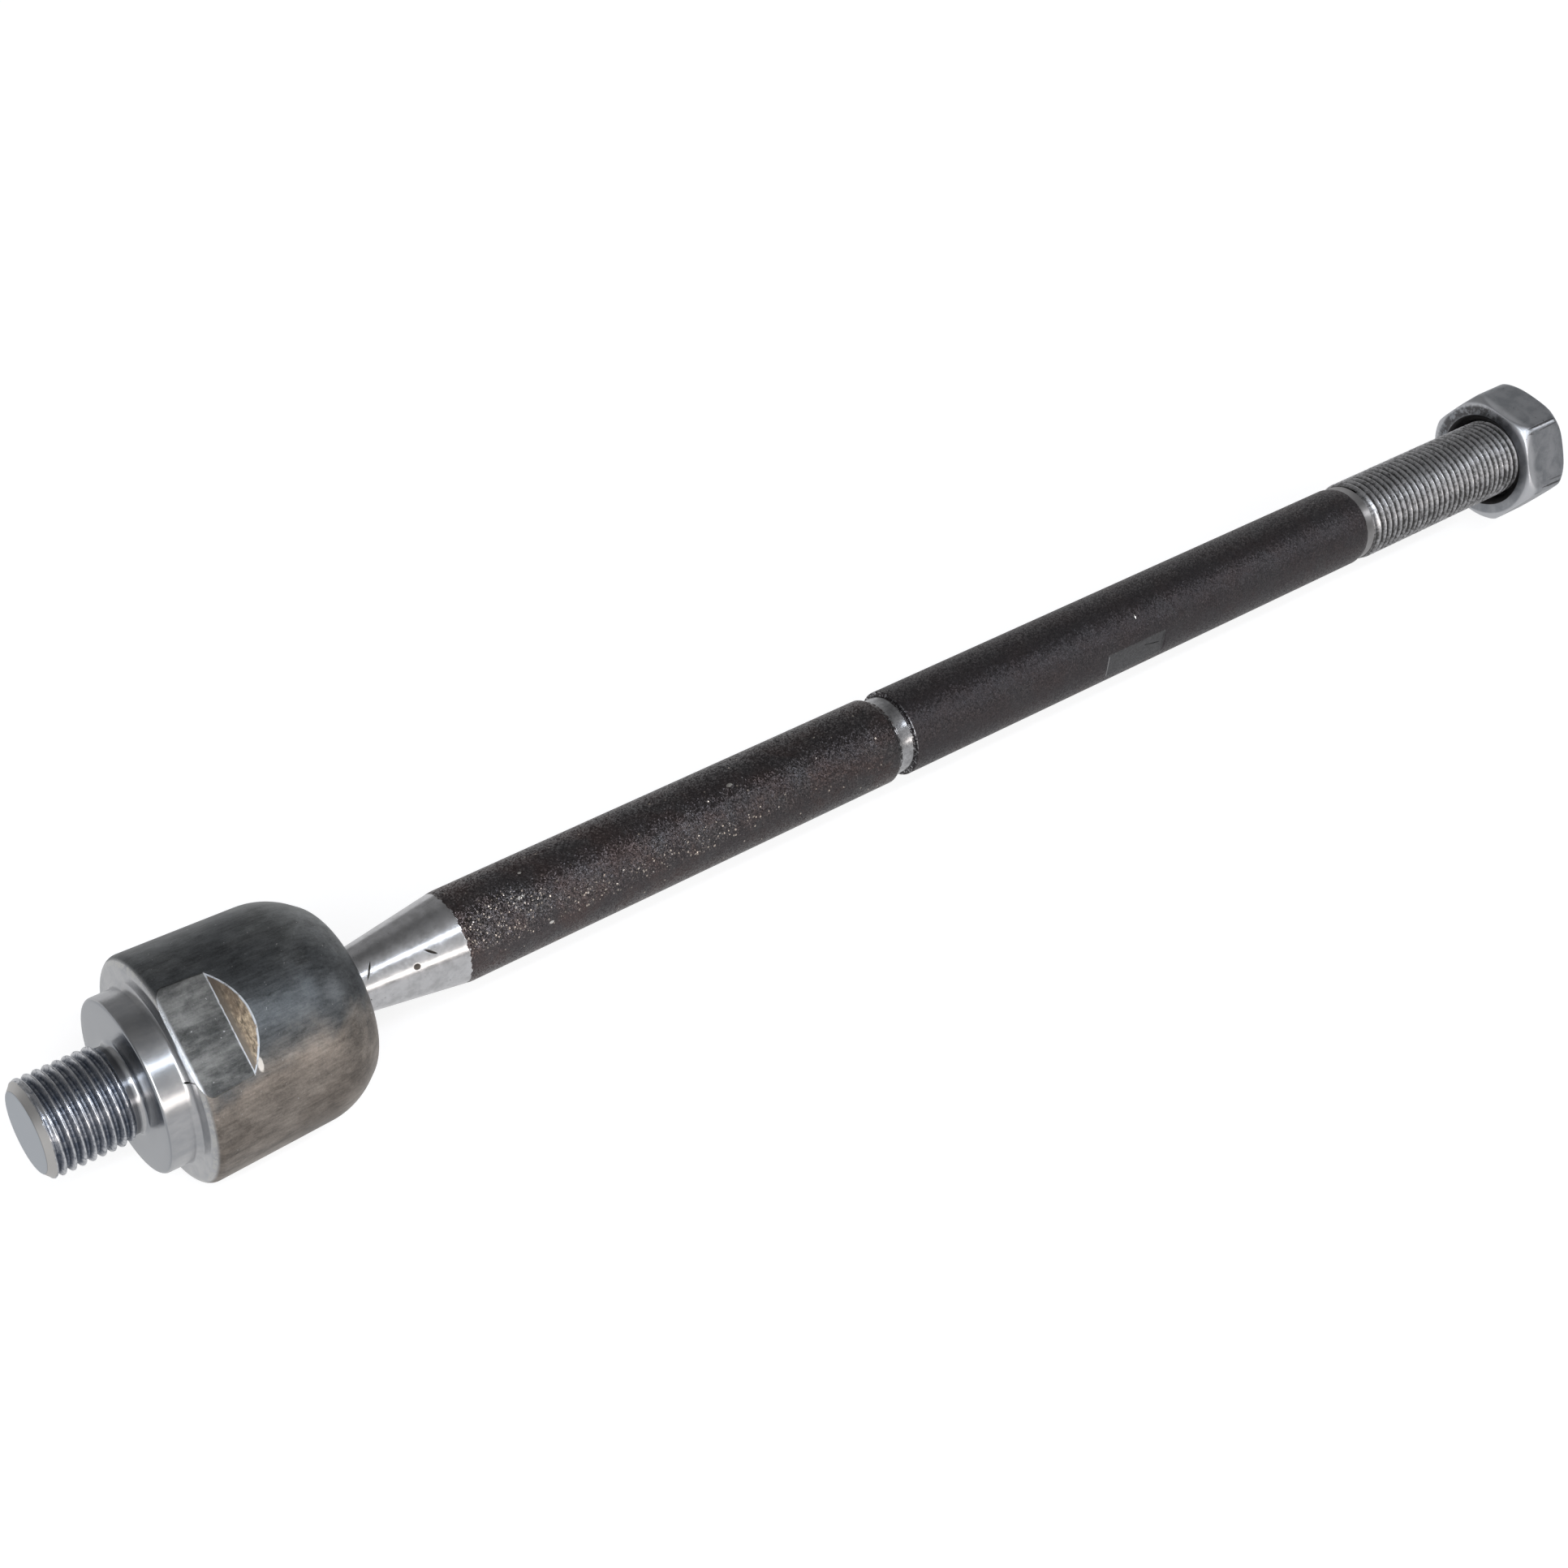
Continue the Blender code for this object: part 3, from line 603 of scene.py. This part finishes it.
def thread_sheet(start, pitch, crest, root, turns, steps, limit):
    """A right-handed thread: one tooth's outline is wound along the rod and then trimmed.

    limit gives, at a distance along the rod, where a point is kept, the radius of the blank
    there and the share of the full depth that the thread has. Past both ends the sheet dips
    under the piece that it wraps.
    """
    flat = pitch / 8
    flank = pitch * 0.31
    outline = [(0, root), (flat * 0.6, root), (flat * 1.1, root + 0.03)]
    outline += [(flat * 1.1 + flank * step / 3, root + 0.03 + (crest - root - 0.06) * step / 3)
                for step in range(1, 4)]
    top = outline[-1][0]
    outline += [(top + flat * 0.35, crest), (top + flat * 0.95, crest),
                (top + flat * 1.3, crest - 0.03)]
    down = outline[-1][0]
    outline += [(down + (pitch - down - flat * 0.5) * step / 3,
                 crest - 0.03 - (crest - root - 0.06) * step / 3) for step in range(1, 4)]
    outline.append((pitch, root))
    shape = bmesh.new()
    points = [shape.verts.new(at(start + along, radius)) for along, radius in outline]
    edges = [shape.edges.new(pair) for pair in zip(points, points[1:])]
    bmesh.ops.spin(shape, geom=points + edges, cent=at(0), axis=(1, 0, 0),
                   dvec=(pitch * MM / steps, 0, 0), angle=2 * pi, steps=steps)
    first_turn = shape.verts[:] + shape.edges[:] + shape.faces[:]
    for turn in range(1, turns):
        copied = bmesh.ops.duplicate(shape, geom=first_turn)["geom"]
        moved = [item for item in copied if isinstance(item, bmesh.types.BMVert)]
        bmesh.ops.translate(shape, vec=(pitch * turn * MM, 0, 0), verts=moved)
    bmesh.ops.remove_doubles(shape, verts=shape.verts, dist=0.005 * MM)
    for vert in shape.verts:
        along = (vert.co.x - SHANK_END) / MM
        side = Vector((0, vert.co.y, vert.co.z - AXIS_HEIGHT))
        radius = side.length / MM
        place, blank, share = limit(along)
        radius = max(min(blank, radius), root) if share == 1 else blank - (crest - radius) * share
        side.normalize()
        vert.co = at(place) + side * radius * MM
    bmesh.ops.recalc_face_normals(shape, faces=shape.faces)
    middle = shape.faces[len(shape.faces) // 2]
    outward = middle.calc_center_median() - at(0)
    outward.x = 0
    if middle.normal.dot(outward) < 0:
        bmesh.ops.reverse_faces(shape, faces=shape.faces)
    return shape


def shank_blank(along):
    """The blank under the shank's thread: a chamfered tip, and the relief at the root."""
    if along < 0.9:
        return 0.9, 6.5, 0.0
    if along > SHANK_RUNOUT:
        return SHANK_RUNOUT, 6.2, 0.0
    tip = min(1.0, max(0.0, (along - 0.95) / 0.7))
    end = min(1.0, max(0.0, (SHANK_RUNOUT - along) / 1.1))
    blank = min(5.95 + along, SHANK_CREST, SHANK_ROOT + (SHANK_RUNOUT - along) * 0.8)
    return along, blank, tip * end


shank_thread = thread_sheet(-0.4, PITCH, SHANK_CREST, SHANK_ROOT, 10, 96, shank_blank)


def thread_steel(name, crest, root, dirt_and_shade, bright, grimy, gloss):
    """Bare threads: bright crests, dirty roots, a painted shade on the lower side, and the fine
    marks left round them by rolling.
    """
    made, tree, shader, where = surface(name)
    height = step(tree, where["Radius"], root + 0.1, crest - 0.02)
    smear = noise_at(tree, where["Spot"], 0.55, 5, 0.6)
    wipe = noise_at(tree, stretched(tree, where["Spot"], 0.35, 1.6), 1.0, 4, 0.65)
    smear = math(tree, "MULTIPLY_ADD", wipe, 1.3, math(tree, "MULTIPLY_ADD", smear, 0.5, -0.4))
    fine = noise_at(tree, stretched(tree, where["Spot"], 5, 1.2), 1.0, 3, 0.6)
    # Painted shade: the threads are darkened towards their lower side.
    facing = math(tree, "COSINE", math(tree, "SUBTRACT", where["Turn"], radians(130)))
    low = math(tree, "MULTIPLY", step(tree, facing, 0.35, 0.75), dirt_and_shade * 0.9)
    clean = math(tree, "SUBTRACT", math(tree, "MULTIPLY_ADD", smear, 1.6, -0.4), low)
    clean = math(tree, "ADD", math(tree, "MULTIPLY", height, 0.85), math(tree, "MULTIPLY",
                 math(tree, "SUBTRACT", clean, dirt_and_shade), 0.9), clamp=True)
    clean = math(tree, "MULTIPLY", clean, step(tree, fine, 0.25, 0.5))
    tree.links.new(mixed(tree, clean, (*grimy, 1), (*bright, 1)), shader.inputs["Base Color"])
    tree.links.new(blended(tree, clean, 0.5, gloss), shader.inputs["Roughness"])
    shader.inputs["Metallic"].default_value = 1.0
    tree.links.new(bumped(tree, fine, 0.02, 0.6), shader.inputs["Normal"])
    return made


shank_steel = thread_steel("shank_thread_steel", SHANK_CREST, SHANK_ROOT, 0.2,
                           (0.66, 0.67, 0.70), (0.12, 0.14, 0.18), 0.19)
piece("shank_thread", shank_thread, "socket", [shank_steel])


# Spring: a stamped and coned disc of blued spring steel. It lies in the bottom of the housing and
# presses the bearing against the ball, so that the joint has no play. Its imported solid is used.
spring_steel, tree, shader, where = surface("spring_steel")
oil = noise_at(tree, where["Spot"], 0.5, 4, 0.6)
tree.links.new(mixed(tree, oil, (0.10, 0.11, 0.14, 1), (0.24, 0.22, 0.20, 1)),
               shader.inputs["Base Color"])
shader.inputs["Metallic"].default_value = 1.0
tree.links.new(math(tree, "MULTIPLY_ADD", oil, 0.2, 0.28), shader.inputs["Roughness"])
tree.links.new(bumped(tree, oil, 0.02, 0.3), shader.inputs["Normal"])


def dress(name, covering):
    """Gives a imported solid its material."""
    inner = bpy.data.objects[name].data
    inner.materials.clear()
    inner.materials.append(covering)


dress("preload_spring", spring_steel)


# Bearing: a slotted shell of moulded white acetal. It is greased and snapped over the ball before
# both go into the housing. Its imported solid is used.
acetal, tree, shader, where = surface("acetal")
grease = noise_at(tree, where["Spot"], 0.3, 4, 0.6)
greased = step(tree, grease, 0.5, 0.75)
tree.links.new(mixed(tree, greased, (0.74, 0.73, 0.69, 1), (0.45, 0.38, 0.24, 1)),
               shader.inputs["Base Color"])
tree.links.new(math(tree, "MULTIPLY_ADD", grease, -0.3, 0.55), shader.inputs["Roughness"])
tree.links.new(bumped(tree, grease, 0.05, 0.3), shader.inputs["Normal"])
dress("ball_bearing", acetal)


# Rod: a steel forging whose ball sits in the bearing. Its neck is ground mirror-bright, its
# shaft keeps black scale, its groove is polished, and two small flats take a wrench.
BALL = 10.5
NECK = 4.5
SHAFT = 7.05
TAPER_END = 64.9
GROOVE_FLOOR = 6.3
GROOVE_START = 144.1
GROOVE_END = 146.6
SHAFT_END = 251.2
BARE_RING = 6.75
THREAD_START = 254.0
ROD_CORE = 6.0
ROD_END = 303.2
SLOPE = (SHAFT - NECK) / (TAPER_END - RIM)
ROD_FLAT_TURN = radians(175.5 - 90)
ROD_FLAT_HEIGHT = 6.75
ROD_FLAT_START = 188.3
ROD_FLAT_END = 201.3
rod_outline = [(BALL_CENTRE - 9.93, 0.0)] + arc((BALL_CENTRE, 0), BALL, -71.1, 62, 40)
rod_outline += [(BALL_CENTRE + 9.9, 4.75), (BALL_CENTRE + 10.3, NECK + SLOPE * 0.2)]
rod_outline += [(TAPER_END - 0.3, SHAFT - SLOPE * 0.3), (TAPER_END + 0.3, SHAFT)]
rod_outline += [(GROOVE_START - 1.2, SHAFT), (GROOVE_START - 1.0, SHAFT - 0.07),
                (GROOVE_START - 0.2, 6.32), (GROOVE_START, GROOVE_FLOOR),
                (GROOVE_END, GROOVE_FLOOR), (GROOVE_END + 0.15, 6.35),
                (GROOVE_END + 0.2, 6.95), (GROOVE_END + 0.35, SHAFT)]
rod_outline += [(SHAFT_END, SHAFT), (252.25, 6.8), (252.4, BARE_RING), (THREAD_START, BARE_RING),
                (254.3, 6.32), (255.0, ROD_CORE), (ROD_END - 0.2, ROD_CORE), (ROD_END - 0.1, 5.9),
                (ROD_END, 5.8), (ROD_END, 0.0)]
rod = spun(dense(rod_outline, 3.0), 160)
rod_flats = [wedge([(ROD_FLAT_START, ROD_FLAT_HEIGHT), (ROD_FLAT_END, ROD_FLAT_HEIGHT),
                    (ROD_FLAT_END + 1, ROD_FLAT_HEIGHT + 1),
                    (ROD_FLAT_START - 1, ROD_FLAT_HEIGHT + 1)],
                   ROD_FLAT_TURN + side * pi, 30) for side in range(2)]
rod = carve(rod, rod_flats, "rod")

# Its finish: where the bare steel of the taper, groove and end shows, and the scale between
rod_steel, tree, shader, where = surface("rod_steel")
along, radius, turn, spot = (where[label] for label in ("Along", "Radius", "Turn", "Spot"))
jag = math(tree, "MULTIPLY_ADD", noise_at(tree, spot, 1.6, 4, 0.6), 1.3, -0.65)
scaled = step(tree, math(tree, "ADD", along, jag), TAPER_END - 0.9, TAPER_END - 0.78)
in_groove = band(tree, along, GROOVE_START + 0.1, GROOVE_END - 0.2, 0.06)
in_groove = math(tree, "MAXIMUM", in_groove, math(tree, "MULTIPLY",
                 band(tree, along, GROOVE_START - 0.9, GROOVE_END + 0.26, 0.05),
                 step(tree, noise_at(tree, spot, 2.2, 3, 0.6), 0.50, 0.58)))
bare_end = step(tree, math(tree, "ADD", along, math(tree, "MULTIPLY", jag, 0.3)),
                SHAFT_END + 0.95, SHAFT_END + 1.2)
scaled = math(tree, "MULTIPLY", scaled, math(tree, "SUBTRACT", 1.0, in_groove))
scaled = math(tree, "MULTIPLY", scaled, math(tree, "SUBTRACT", 1.0, bare_end))
cloud = noise_at(tree, spot, 0.16, 5, 0.6, 0.3)
red = noise_at(tree, spot, 0.13, 5, 0.6, 0.3)
grain = noise_at(tree, spot, 5.5, 2, 0.7)
coarse = noise_at(tree, spot, 1.7, 4, 0.65)
rubbed = step(tree, math(tree, "ADD", along, math(tree, "MULTIPLY", cloud, 16.0)), 88.0, 70.0)
second = step(tree, along, GROOVE_START - 0.1, GROOVE_END + 0.4)
black = mixed(tree, step(tree, red, 0.38, 0.66), (0.064, 0.058, 0.061, 1),
              (0.078, 0.061, 0.060, 1))
dull = mixed(tree, step(tree, cloud, 0.42, 0.70), black, (0.073, 0.070, 0.073, 1))
dull = mixed(tree, math(tree, "MULTIPLY", second, 0.55), dull, (0.060, 0.056, 0.061, 1))
lift = node(tree, "MapRange", {"Value": along, "From Min": 125.0, "From Max": 70.0,
                               "To Min": 1.05, "To Max": 1.4})
grainy = math(tree, "MULTIPLY", lift.outputs[0], math(tree, "MULTIPLY_ADD", grain, 1.5, 0.25))
dull = node(tree, "Mix", {0: 1.0, 6: dull, 7: grainy}, data_type="RGBA",
            blend_type="MULTIPLY").outputs[2]
specks = math(tree, "MULTIPLY", step(tree, grain, 0.54, 0.66), step(tree, coarse, 0.40, 0.58))
specks = math(tree, "MULTIPLY", specks,
              blended(tree, second, blended(tree, rubbed, 0.05, 0.1), 0.02))
# Partly painted sparkle: bright flakes where the scale has flaked near the taper, and more strewn
# along the band where the warm highlight falls.
flaky_and_sparkle = either(tree, mark(tree, where, 67.0, 47.0, 4.2, 2.6, 0, 1.6),
               mark(tree, where, 73.0, 30.0, 6.0, 2.0, 15, 1.6))
trail = math(tree, "MULTIPLY", mark(tree, where, 92.0, 60.0, 30.0, 2.0, 0, 1.2), 0.5)
flaky_and_sparkle = math(tree, "MAXIMUM", flaky_and_sparkle, trail)
cells = node(tree, "TexVoronoi", {"Vector": spot, "Scale": 2.5})
chosen = node(tree, "SeparateXYZ", {0: cells.outputs["Color"]})
dots = step(tree, math(tree, "ADD", cells.outputs["Distance"], math(tree, "MULTIPLY",
            chosen.outputs["Y"], 0.25)), 0.52, 0.40)
picked = math(tree, "MULTIPLY_ADD", flaky_and_sparkle, 0.42, math(tree, "MULTIPLY", rubbed, 0.03))
picked = math(tree, "MAXIMUM", picked,
              math(tree, "MULTIPLY", math(tree, "SUBTRACT", 1.0, second), 0.015))
flakes_and_sparkle = math(tree, "MULTIPLY", dots, math(tree, "GREATER_THAN", picked, chosen.outputs["X"]))
specks = math(tree, "MAXIMUM", specks, flakes_and_sparkle)
dents = either(tree, mark(tree, where, 74.2, 28.6, 0.8, 0.22, -5),
               mark(tree, where, 77.6, 72.6, 0.4, 0.22),
               mark(tree, where, 113.0, 10.2, 0.5, 0.3), mark(tree, where, 76.2, 0.0, 0.3, 0.2),
               mark(tree, where, 195.9, 32.0, 0.12, 0.45))
specks = math(tree, "MAXIMUM", specks, dents)
# The specks are partly grain in the scale and partly painted sparkle, light and warm like the
# warm light's glints.
scale_colour = mixed(tree, specks, dull, (0.52, 0.46, 0.41, 1))
scale_colour = mixed(tree, dents, scale_colour, (0.75, 0.73, 0.70, 1))
level = math(tree, "MULTIPLY", radius, math(tree, "COSINE", math(tree, "SUBTRACT", turn,
             ROD_FLAT_TURN)))
wrench = band(tree, math(tree, "ABSOLUTE", level),
              ROD_FLAT_HEIGHT - 0.09, ROD_FLAT_HEIGHT + 0.05, 0.02)
wrench = math(tree, "MULTIPLY", wrench,
              band(tree, along, ROD_FLAT_START - 0.1, ROD_FLAT_END + 0.1, 0.1))
wrench = math(tree, "MULTIPLY", wrench, step(tree, cloud, 0.2, 0.5))
scale_colour = mixed(tree, wrench, scale_colour, mixed(tree, coarse, (0.065, 0.065, 0.068, 1),
                     (0.145, 0.145, 0.15, 1)))
wrench_end = band(tree, along, ROD_FLAT_START - 1.0, ROD_FLAT_START + 0.2, 0.1)
wrench_end = math(tree, "MULTIPLY", wrench_end,
                  step(tree, level, ROD_FLAT_HEIGHT - 0.15, ROD_FLAT_HEIGHT - 0.05))
wrench_end = math(tree, "MULTIPLY", wrench_end, step(tree, radius, SHAFT - 0.005, SHAFT - 0.02))
scale_colour = mixed(tree, wrench_end, scale_colour, (0.35, 0.35, 0.36, 1))
crack = mark(tree, where, 198.6, 80.0, 2.0, 0.11, 12, 1.2)
scale_colour = mixed(tree, crack, scale_colour, (0.012, 0.012, 0.012, 1))
steel_colour = mixed(tree, step(tree, noise_at(tree, spot, 0.5, 5, 0.65), 0.35, 0.7),
                     (0.66, 0.66, 0.68, 1), (0.50, 0.50, 0.51, 1))
pits = math(tree, "MULTIPLY", step(tree, noise_at(tree, spot, 2.6, 2, 0.5), 0.29, 0.22), 0.9)
scars = either(tree, mark(tree, where, 58.8, 43.0, 1.0, 0.22, 38),
               mark(tree, where, 56.3, 54.5, 0.55, 0.5),
               mark(tree, where, 49.9, 31.0, 1.3, 0.16, 122, 0.4))
pits = math(tree, "MAXIMUM", pits, scars)
steel_colour = mixed(tree, pits, steel_colour, (0.06, 0.055, 0.05, 1))
# The groove and its edges are darker in patches.
darker_groove = math(tree, "MULTIPLY", band(tree, along, GROOVE_START - 1.1, GROOVE_END + 0.4, 0.1),
                  math(tree, "MULTIPLY_ADD", coarse, 1.6, -0.3))
steel_colour = mixed(tree, darker_groove, steel_colour, (0.20, 0.20, 0.21, 1))
end_dirt = math(tree, "MULTIPLY", bare_end, 0.6)
steel_colour = mixed(tree, end_dirt, steel_colour, (0.16, 0.15, 0.145, 1))
tree.links.new(mixed(tree, scaled, steel_colour, scale_colour), shader.inputs["Base Color"])
shader.inputs["Metallic"].default_value = 1.0
scale_rough = blended(tree, second, blended(tree, rubbed, 0.34, 0.29), 0.43)
scale_rough = blended(tree, specks, scale_rough, 0.22)
steel_rough = math(tree, "MULTIPLY_ADD", noise_at(tree, spot, 0.7, 3, 0.5), 0.26, 0.09)
steel_rough = math(tree, "ADD", steel_rough, math(tree, "MULTIPLY", bare_end, 0.2))
tree.links.new(blended(tree, scaled, steel_rough, scale_rough), shader.inputs["Roughness"])
rough_height = math(tree, "ADD", math(tree, "MULTIPLY", grain, 0.6), coarse)
rough_height = math(tree, "MULTIPLY", rough_height, blended(tree, second,
                    blended(tree, rubbed, 0.5, 0.7), 0.4))
rough_height = math(tree, "MULTIPLY", rough_height, math(tree, "MULTIPLY_ADD", flaky_and_sparkle, 1.0, 1.0))
lines = noise_at(tree, stretched(tree, spot, 0.5, 5.0), 1.0, 3, 0.6)
peened = noise_at(tree, spot, 1.5, 3, 0.6)
smooth_height = math(tree, "ADD", math(tree, "MULTIPLY", lines, 0.10),
                     math(tree, "MULTIPLY", peened, 0.10))
smooth_height = math(tree, "SUBTRACT", smooth_height, math(tree, "MULTIPLY", pits, 0.5))
grit = node(tree, "TexVoronoi", {"Vector": spot, "Scale": 5.0})
tilt = node(tree, "VectorMath", {0: grit.outputs["Color"], 1: (0.5, 0.5, 0.5)},
            operation="SUBTRACT")
glints = math(tree, "MULTIPLY", scaled,
              blended(tree, second, blended(tree, rubbed, 0.6, 0.7), 0.45))
glints = math(tree, "MULTIPLY", glints, math(tree, "MULTIPLY_ADD", flaky_and_sparkle, 0.8, 1.0))
tilt = node(tree, "VectorMath", {0: tilt.outputs[0], "Scale": glints}, operation="SCALE")
lumpy = bumped(tree, blended(tree, scaled, smooth_height, rough_height), 0.045, 0.8)
lumpy = node(tree, "VectorMath", {0: lumpy, 1: tilt.outputs[0]}, operation="ADD")
lumpy = node(tree, "VectorMath", {0: lumpy.outputs[0]}, operation="NORMALIZE")
tree.links.new(lumpy.outputs[0], shader.inputs["Normal"])
piece("rod", rod, "rod", [rod_steel], stands_for="tie_rod")


# Rod thread: 9/16-18 UNF like the shank's, rolled on to the rod's end for the outer end and the
# jam nut. Its crests are worn and its roots dirty, and it is laid round the rod's plain core.
THREAD_CREST = 7.16
THREAD_ROOT = 6.38
THREAD_END = 303.08


def rod_blank(along):
    """The blank under the rod's thread: it starts at a bare ring and ends in a chamfer."""
    if along > THREAD_END:
        return THREAD_END - (along - THREAD_END) * 0.1, 6.1 - (along - THREAD_END) * 0.3, 0.0
    if along < 253.9:
        return 253.9, 6.5, 0.0
    lead = min(1.0, max(0.0, (along - THREAD_START) / 1.6))
    tip = min(1.0, max(0.0, (302.8 - along) / 0.8))
    blank = min(THREAD_CREST, 6.7 + (along - 253.9) * 0.5, 6.1 + (THREAD_END - along))
    return along, blank, lead * tip


rod_thread = thread_sheet(253.0, PITCH, THREAD_CREST, THREAD_ROOT, 37, 96, rod_blank)
rod_thread_steel = thread_steel("rod_thread_steel", THREAD_CREST, THREAD_ROOT, 0.42,
                                (0.66, 0.66, 0.68), (0.09, 0.088, 0.088), 0.27)
piece("rod_thread", rod_thread, "rod", [rod_thread_steel])


# Jam nut: a steel hexagon that screws along the rod's thread and locks the outer end. One flat
# is down, its corners are turned off and a countersink leads into its bore at each face. It is
# satin grey, with grime and dark marks from handling.
NUT_HALF_SPAN = 10.75
NUT_EDGE_RADIUS = 1.7
NUT_FRONT = 291.8
NUT_BACK = 302.0
COUNTERSINK = 8.72
NUT_BORE = 7.36
NUT_STEPS = 240


def hexagon_reach(away):
    """How far out the nut's rounded hexagon is at an angle from the middle of a flat."""
    away = abs(away)
    hub = (NUT_HALF_SPAN - NUT_EDGE_RADIUS) / cos(pi / 6)
    if away < atan(tan(pi / 6) * (NUT_HALF_SPAN - NUT_EDGE_RADIUS) / NUT_HALF_SPAN):
        return NUT_HALF_SPAN / cos(away)
    off = pi / 6 - away
    return hub * cos(off) + sqrt(NUT_EDGE_RADIUS ** 2 - (hub * sin(off)) ** 2)


def hexagon_ring(shape, along, limit, soft):
    """One ring of the nut: its hexagon, or where that is further out, the turned-off corner."""
    ring = []
    for index in range(NUT_STEPS):
        turn = 2 * pi * index / NUT_STEPS
        flat = hexagon_reach((turn + pi / 6) % (pi / 3) - pi / 6)
        reach = min(flat, limit) - max(0.0, soft - abs(flat - limit)) ** 2 / (4 * soft)
        ring.append(shape.verts.new(at(along, reach, pi + turn)))
    return ring


def round_ring(shape, along, radius):
    """One round ring of the nut's countersinks and bore."""
    return [shape.verts.new(at(along, radius, pi + 2 * pi * index / NUT_STEPS))
            for index in range(NUT_STEPS)]


nut = bmesh.new()
corner = [(0.0, 10.55), (0.015, 10.75), (0.06, 10.95), (0.14, 11.12), (0.28, 11.3), (0.5, 11.5),
          (0.8, 11.72), (1.15, 11.95), (1.5, 12.15), (1.9, 12.35), (2.3, 12.5), (2.8, 12.7)]
bore = [(0.0, COUNTERSINK), (0.04, COUNTERSINK - 0.08), (1.2, 7.42), (1.35, NUT_BORE)]
rings = [hexagon_ring(nut, NUT_FRONT + depth, limit, 0.35) for depth, limit in corner]
rings += [hexagon_ring(nut, NUT_BACK - depth, limit, 0.35) for depth, limit in reversed(corner)]
rings += [round_ring(nut, NUT_BACK - depth, radius) for depth, radius in bore]
rings += [round_ring(nut, NUT_FRONT + depth, radius) for depth, radius in reversed(bore)]
loops = [[nut.edges.new(pair) for pair in zip(ring, ring[1:] + ring[:1])] for ring in rings]
for near, far in zip(loops, loops[1:] + loops[:1]):
    bmesh.ops.bridge_loops(nut, edges=near + far)
face_out(nut)

# Its finish: satin grey and faintly mottled, with a painted highlight that makes the turned-off
# corners lighter at the front
nut_steel, tree, shader, where = surface("nut_steel")
along, radius, turn, spot = (where[label] for label in ("Along", "Radius", "Turn", "Spot"))
mottle = noise_at(tree, spot, 0.35, 6, 0.65, 0.5)
fine = noise_at(tree, spot, 3.0, 4, 0.65)
dots = step(tree, noise_at(tree, spot, 1.5, 2, 0.5), 0.27, 0.21)
smear = math(tree, "MULTIPLY", step(tree, noise_at(tree, stretched(tree, spot, 0.25, 1.1), 1.0, 4,
             0.6), 0.60, 0.72), step(tree, radius, 11.2, 12.0))
grey = mixed(tree, step(tree, mottle, 0.35, 0.65), (0.29, 0.305, 0.33, 1), (0.40, 0.41, 0.435, 1))
grey = mixed(tree, math(tree, "MULTIPLY", step(tree, fine, 0.5, 0.75), 0.25), grey,
             (0.5, 0.5, 0.52, 1))
# Painted highlight: the turned-off corners at the front are painted lighter.
dome = math(tree, "MULTIPLY", step(tree, along, NUT_FRONT + 2.5, NUT_FRONT + 0.8),
            step(tree, radius, 10.2, 10.6))
grey = mixed(tree, math(tree, "MULTIPLY", dome, 0.8), grey, (0.66, 0.67, 0.70, 1))
grip = either(tree, mark(tree, where, 297.2, 29.5, 4.4, 0.2, 0, 1.1),
              math(tree, "MULTIPLY", mark(tree, where, 298.6, 33.5, 3.0, 0.13, -2, 1.1), 0.6),
              mark(tree, where, 298.4, 88.0, 3.2, 0.22, 2, 1.1),
              math(tree, "MULTIPLY", mark(tree, where, 299.4, 84.0, 2.2, 0.13, 2, 1.1), 0.6))
smear = math(tree, "MAXIMUM", smear, grip)
dirt_and_shade_mask = math(tree, "MAXIMUM", dots, math(tree, "MULTIPLY", smear, 0.8))
grime = math(tree, "MULTIPLY", band(tree, radius, 8.7, 10.5, 0.5), step(tree, noise_at(tree, spot,
             0.9, 5, 0.7), 0.40, 0.56))
facing = math(tree, "COSINE", math(tree, "SUBTRACT", turn, radians(-70)))
grime = math(tree, "MULTIPLY", grime, step(tree, facing, -0.1, 0.5))
grime = math(tree, "MULTIPLY", grime, step(tree, along, NUT_FRONT + 3.2, NUT_FRONT + 1.7))
dirt_and_shade_mask = math(tree, "MAXIMUM", dirt_and_shade_mask, math(tree, "MULTIPLY", grime, 0.75))
# Painted shade: the countersink and bore, where the nut meets the thread, are painted nearly
# black.
sink = step(tree, radius, COUNTERSINK + 0.06, COUNTERSINK - 0.06)
dirt_and_shade_mask = math(tree, "MAXIMUM", dirt_and_shade_mask, math(tree, "MULTIPLY", sink, 0.85))
tree.links.new(mixed(tree, dirt_and_shade_mask, grey, (0.045, 0.04, 0.038, 1)), shader.inputs["Base Color"])
shader.inputs["Metallic"].default_value = 1.0
tree.links.new(math(tree, "MULTIPLY_ADD", mottle, 0.2, 0.3), shader.inputs["Roughness"])
height = math(tree, "SUBTRACT", math(tree, "MULTIPLY_ADD", fine, 0.5, mottle), dots)
tree.links.new(bumped(tree, height, 0.03, 0.5), shader.inputs["Normal"])
piece("nut", nut, "nut", [nut_steel], stands_for="jam_nut")
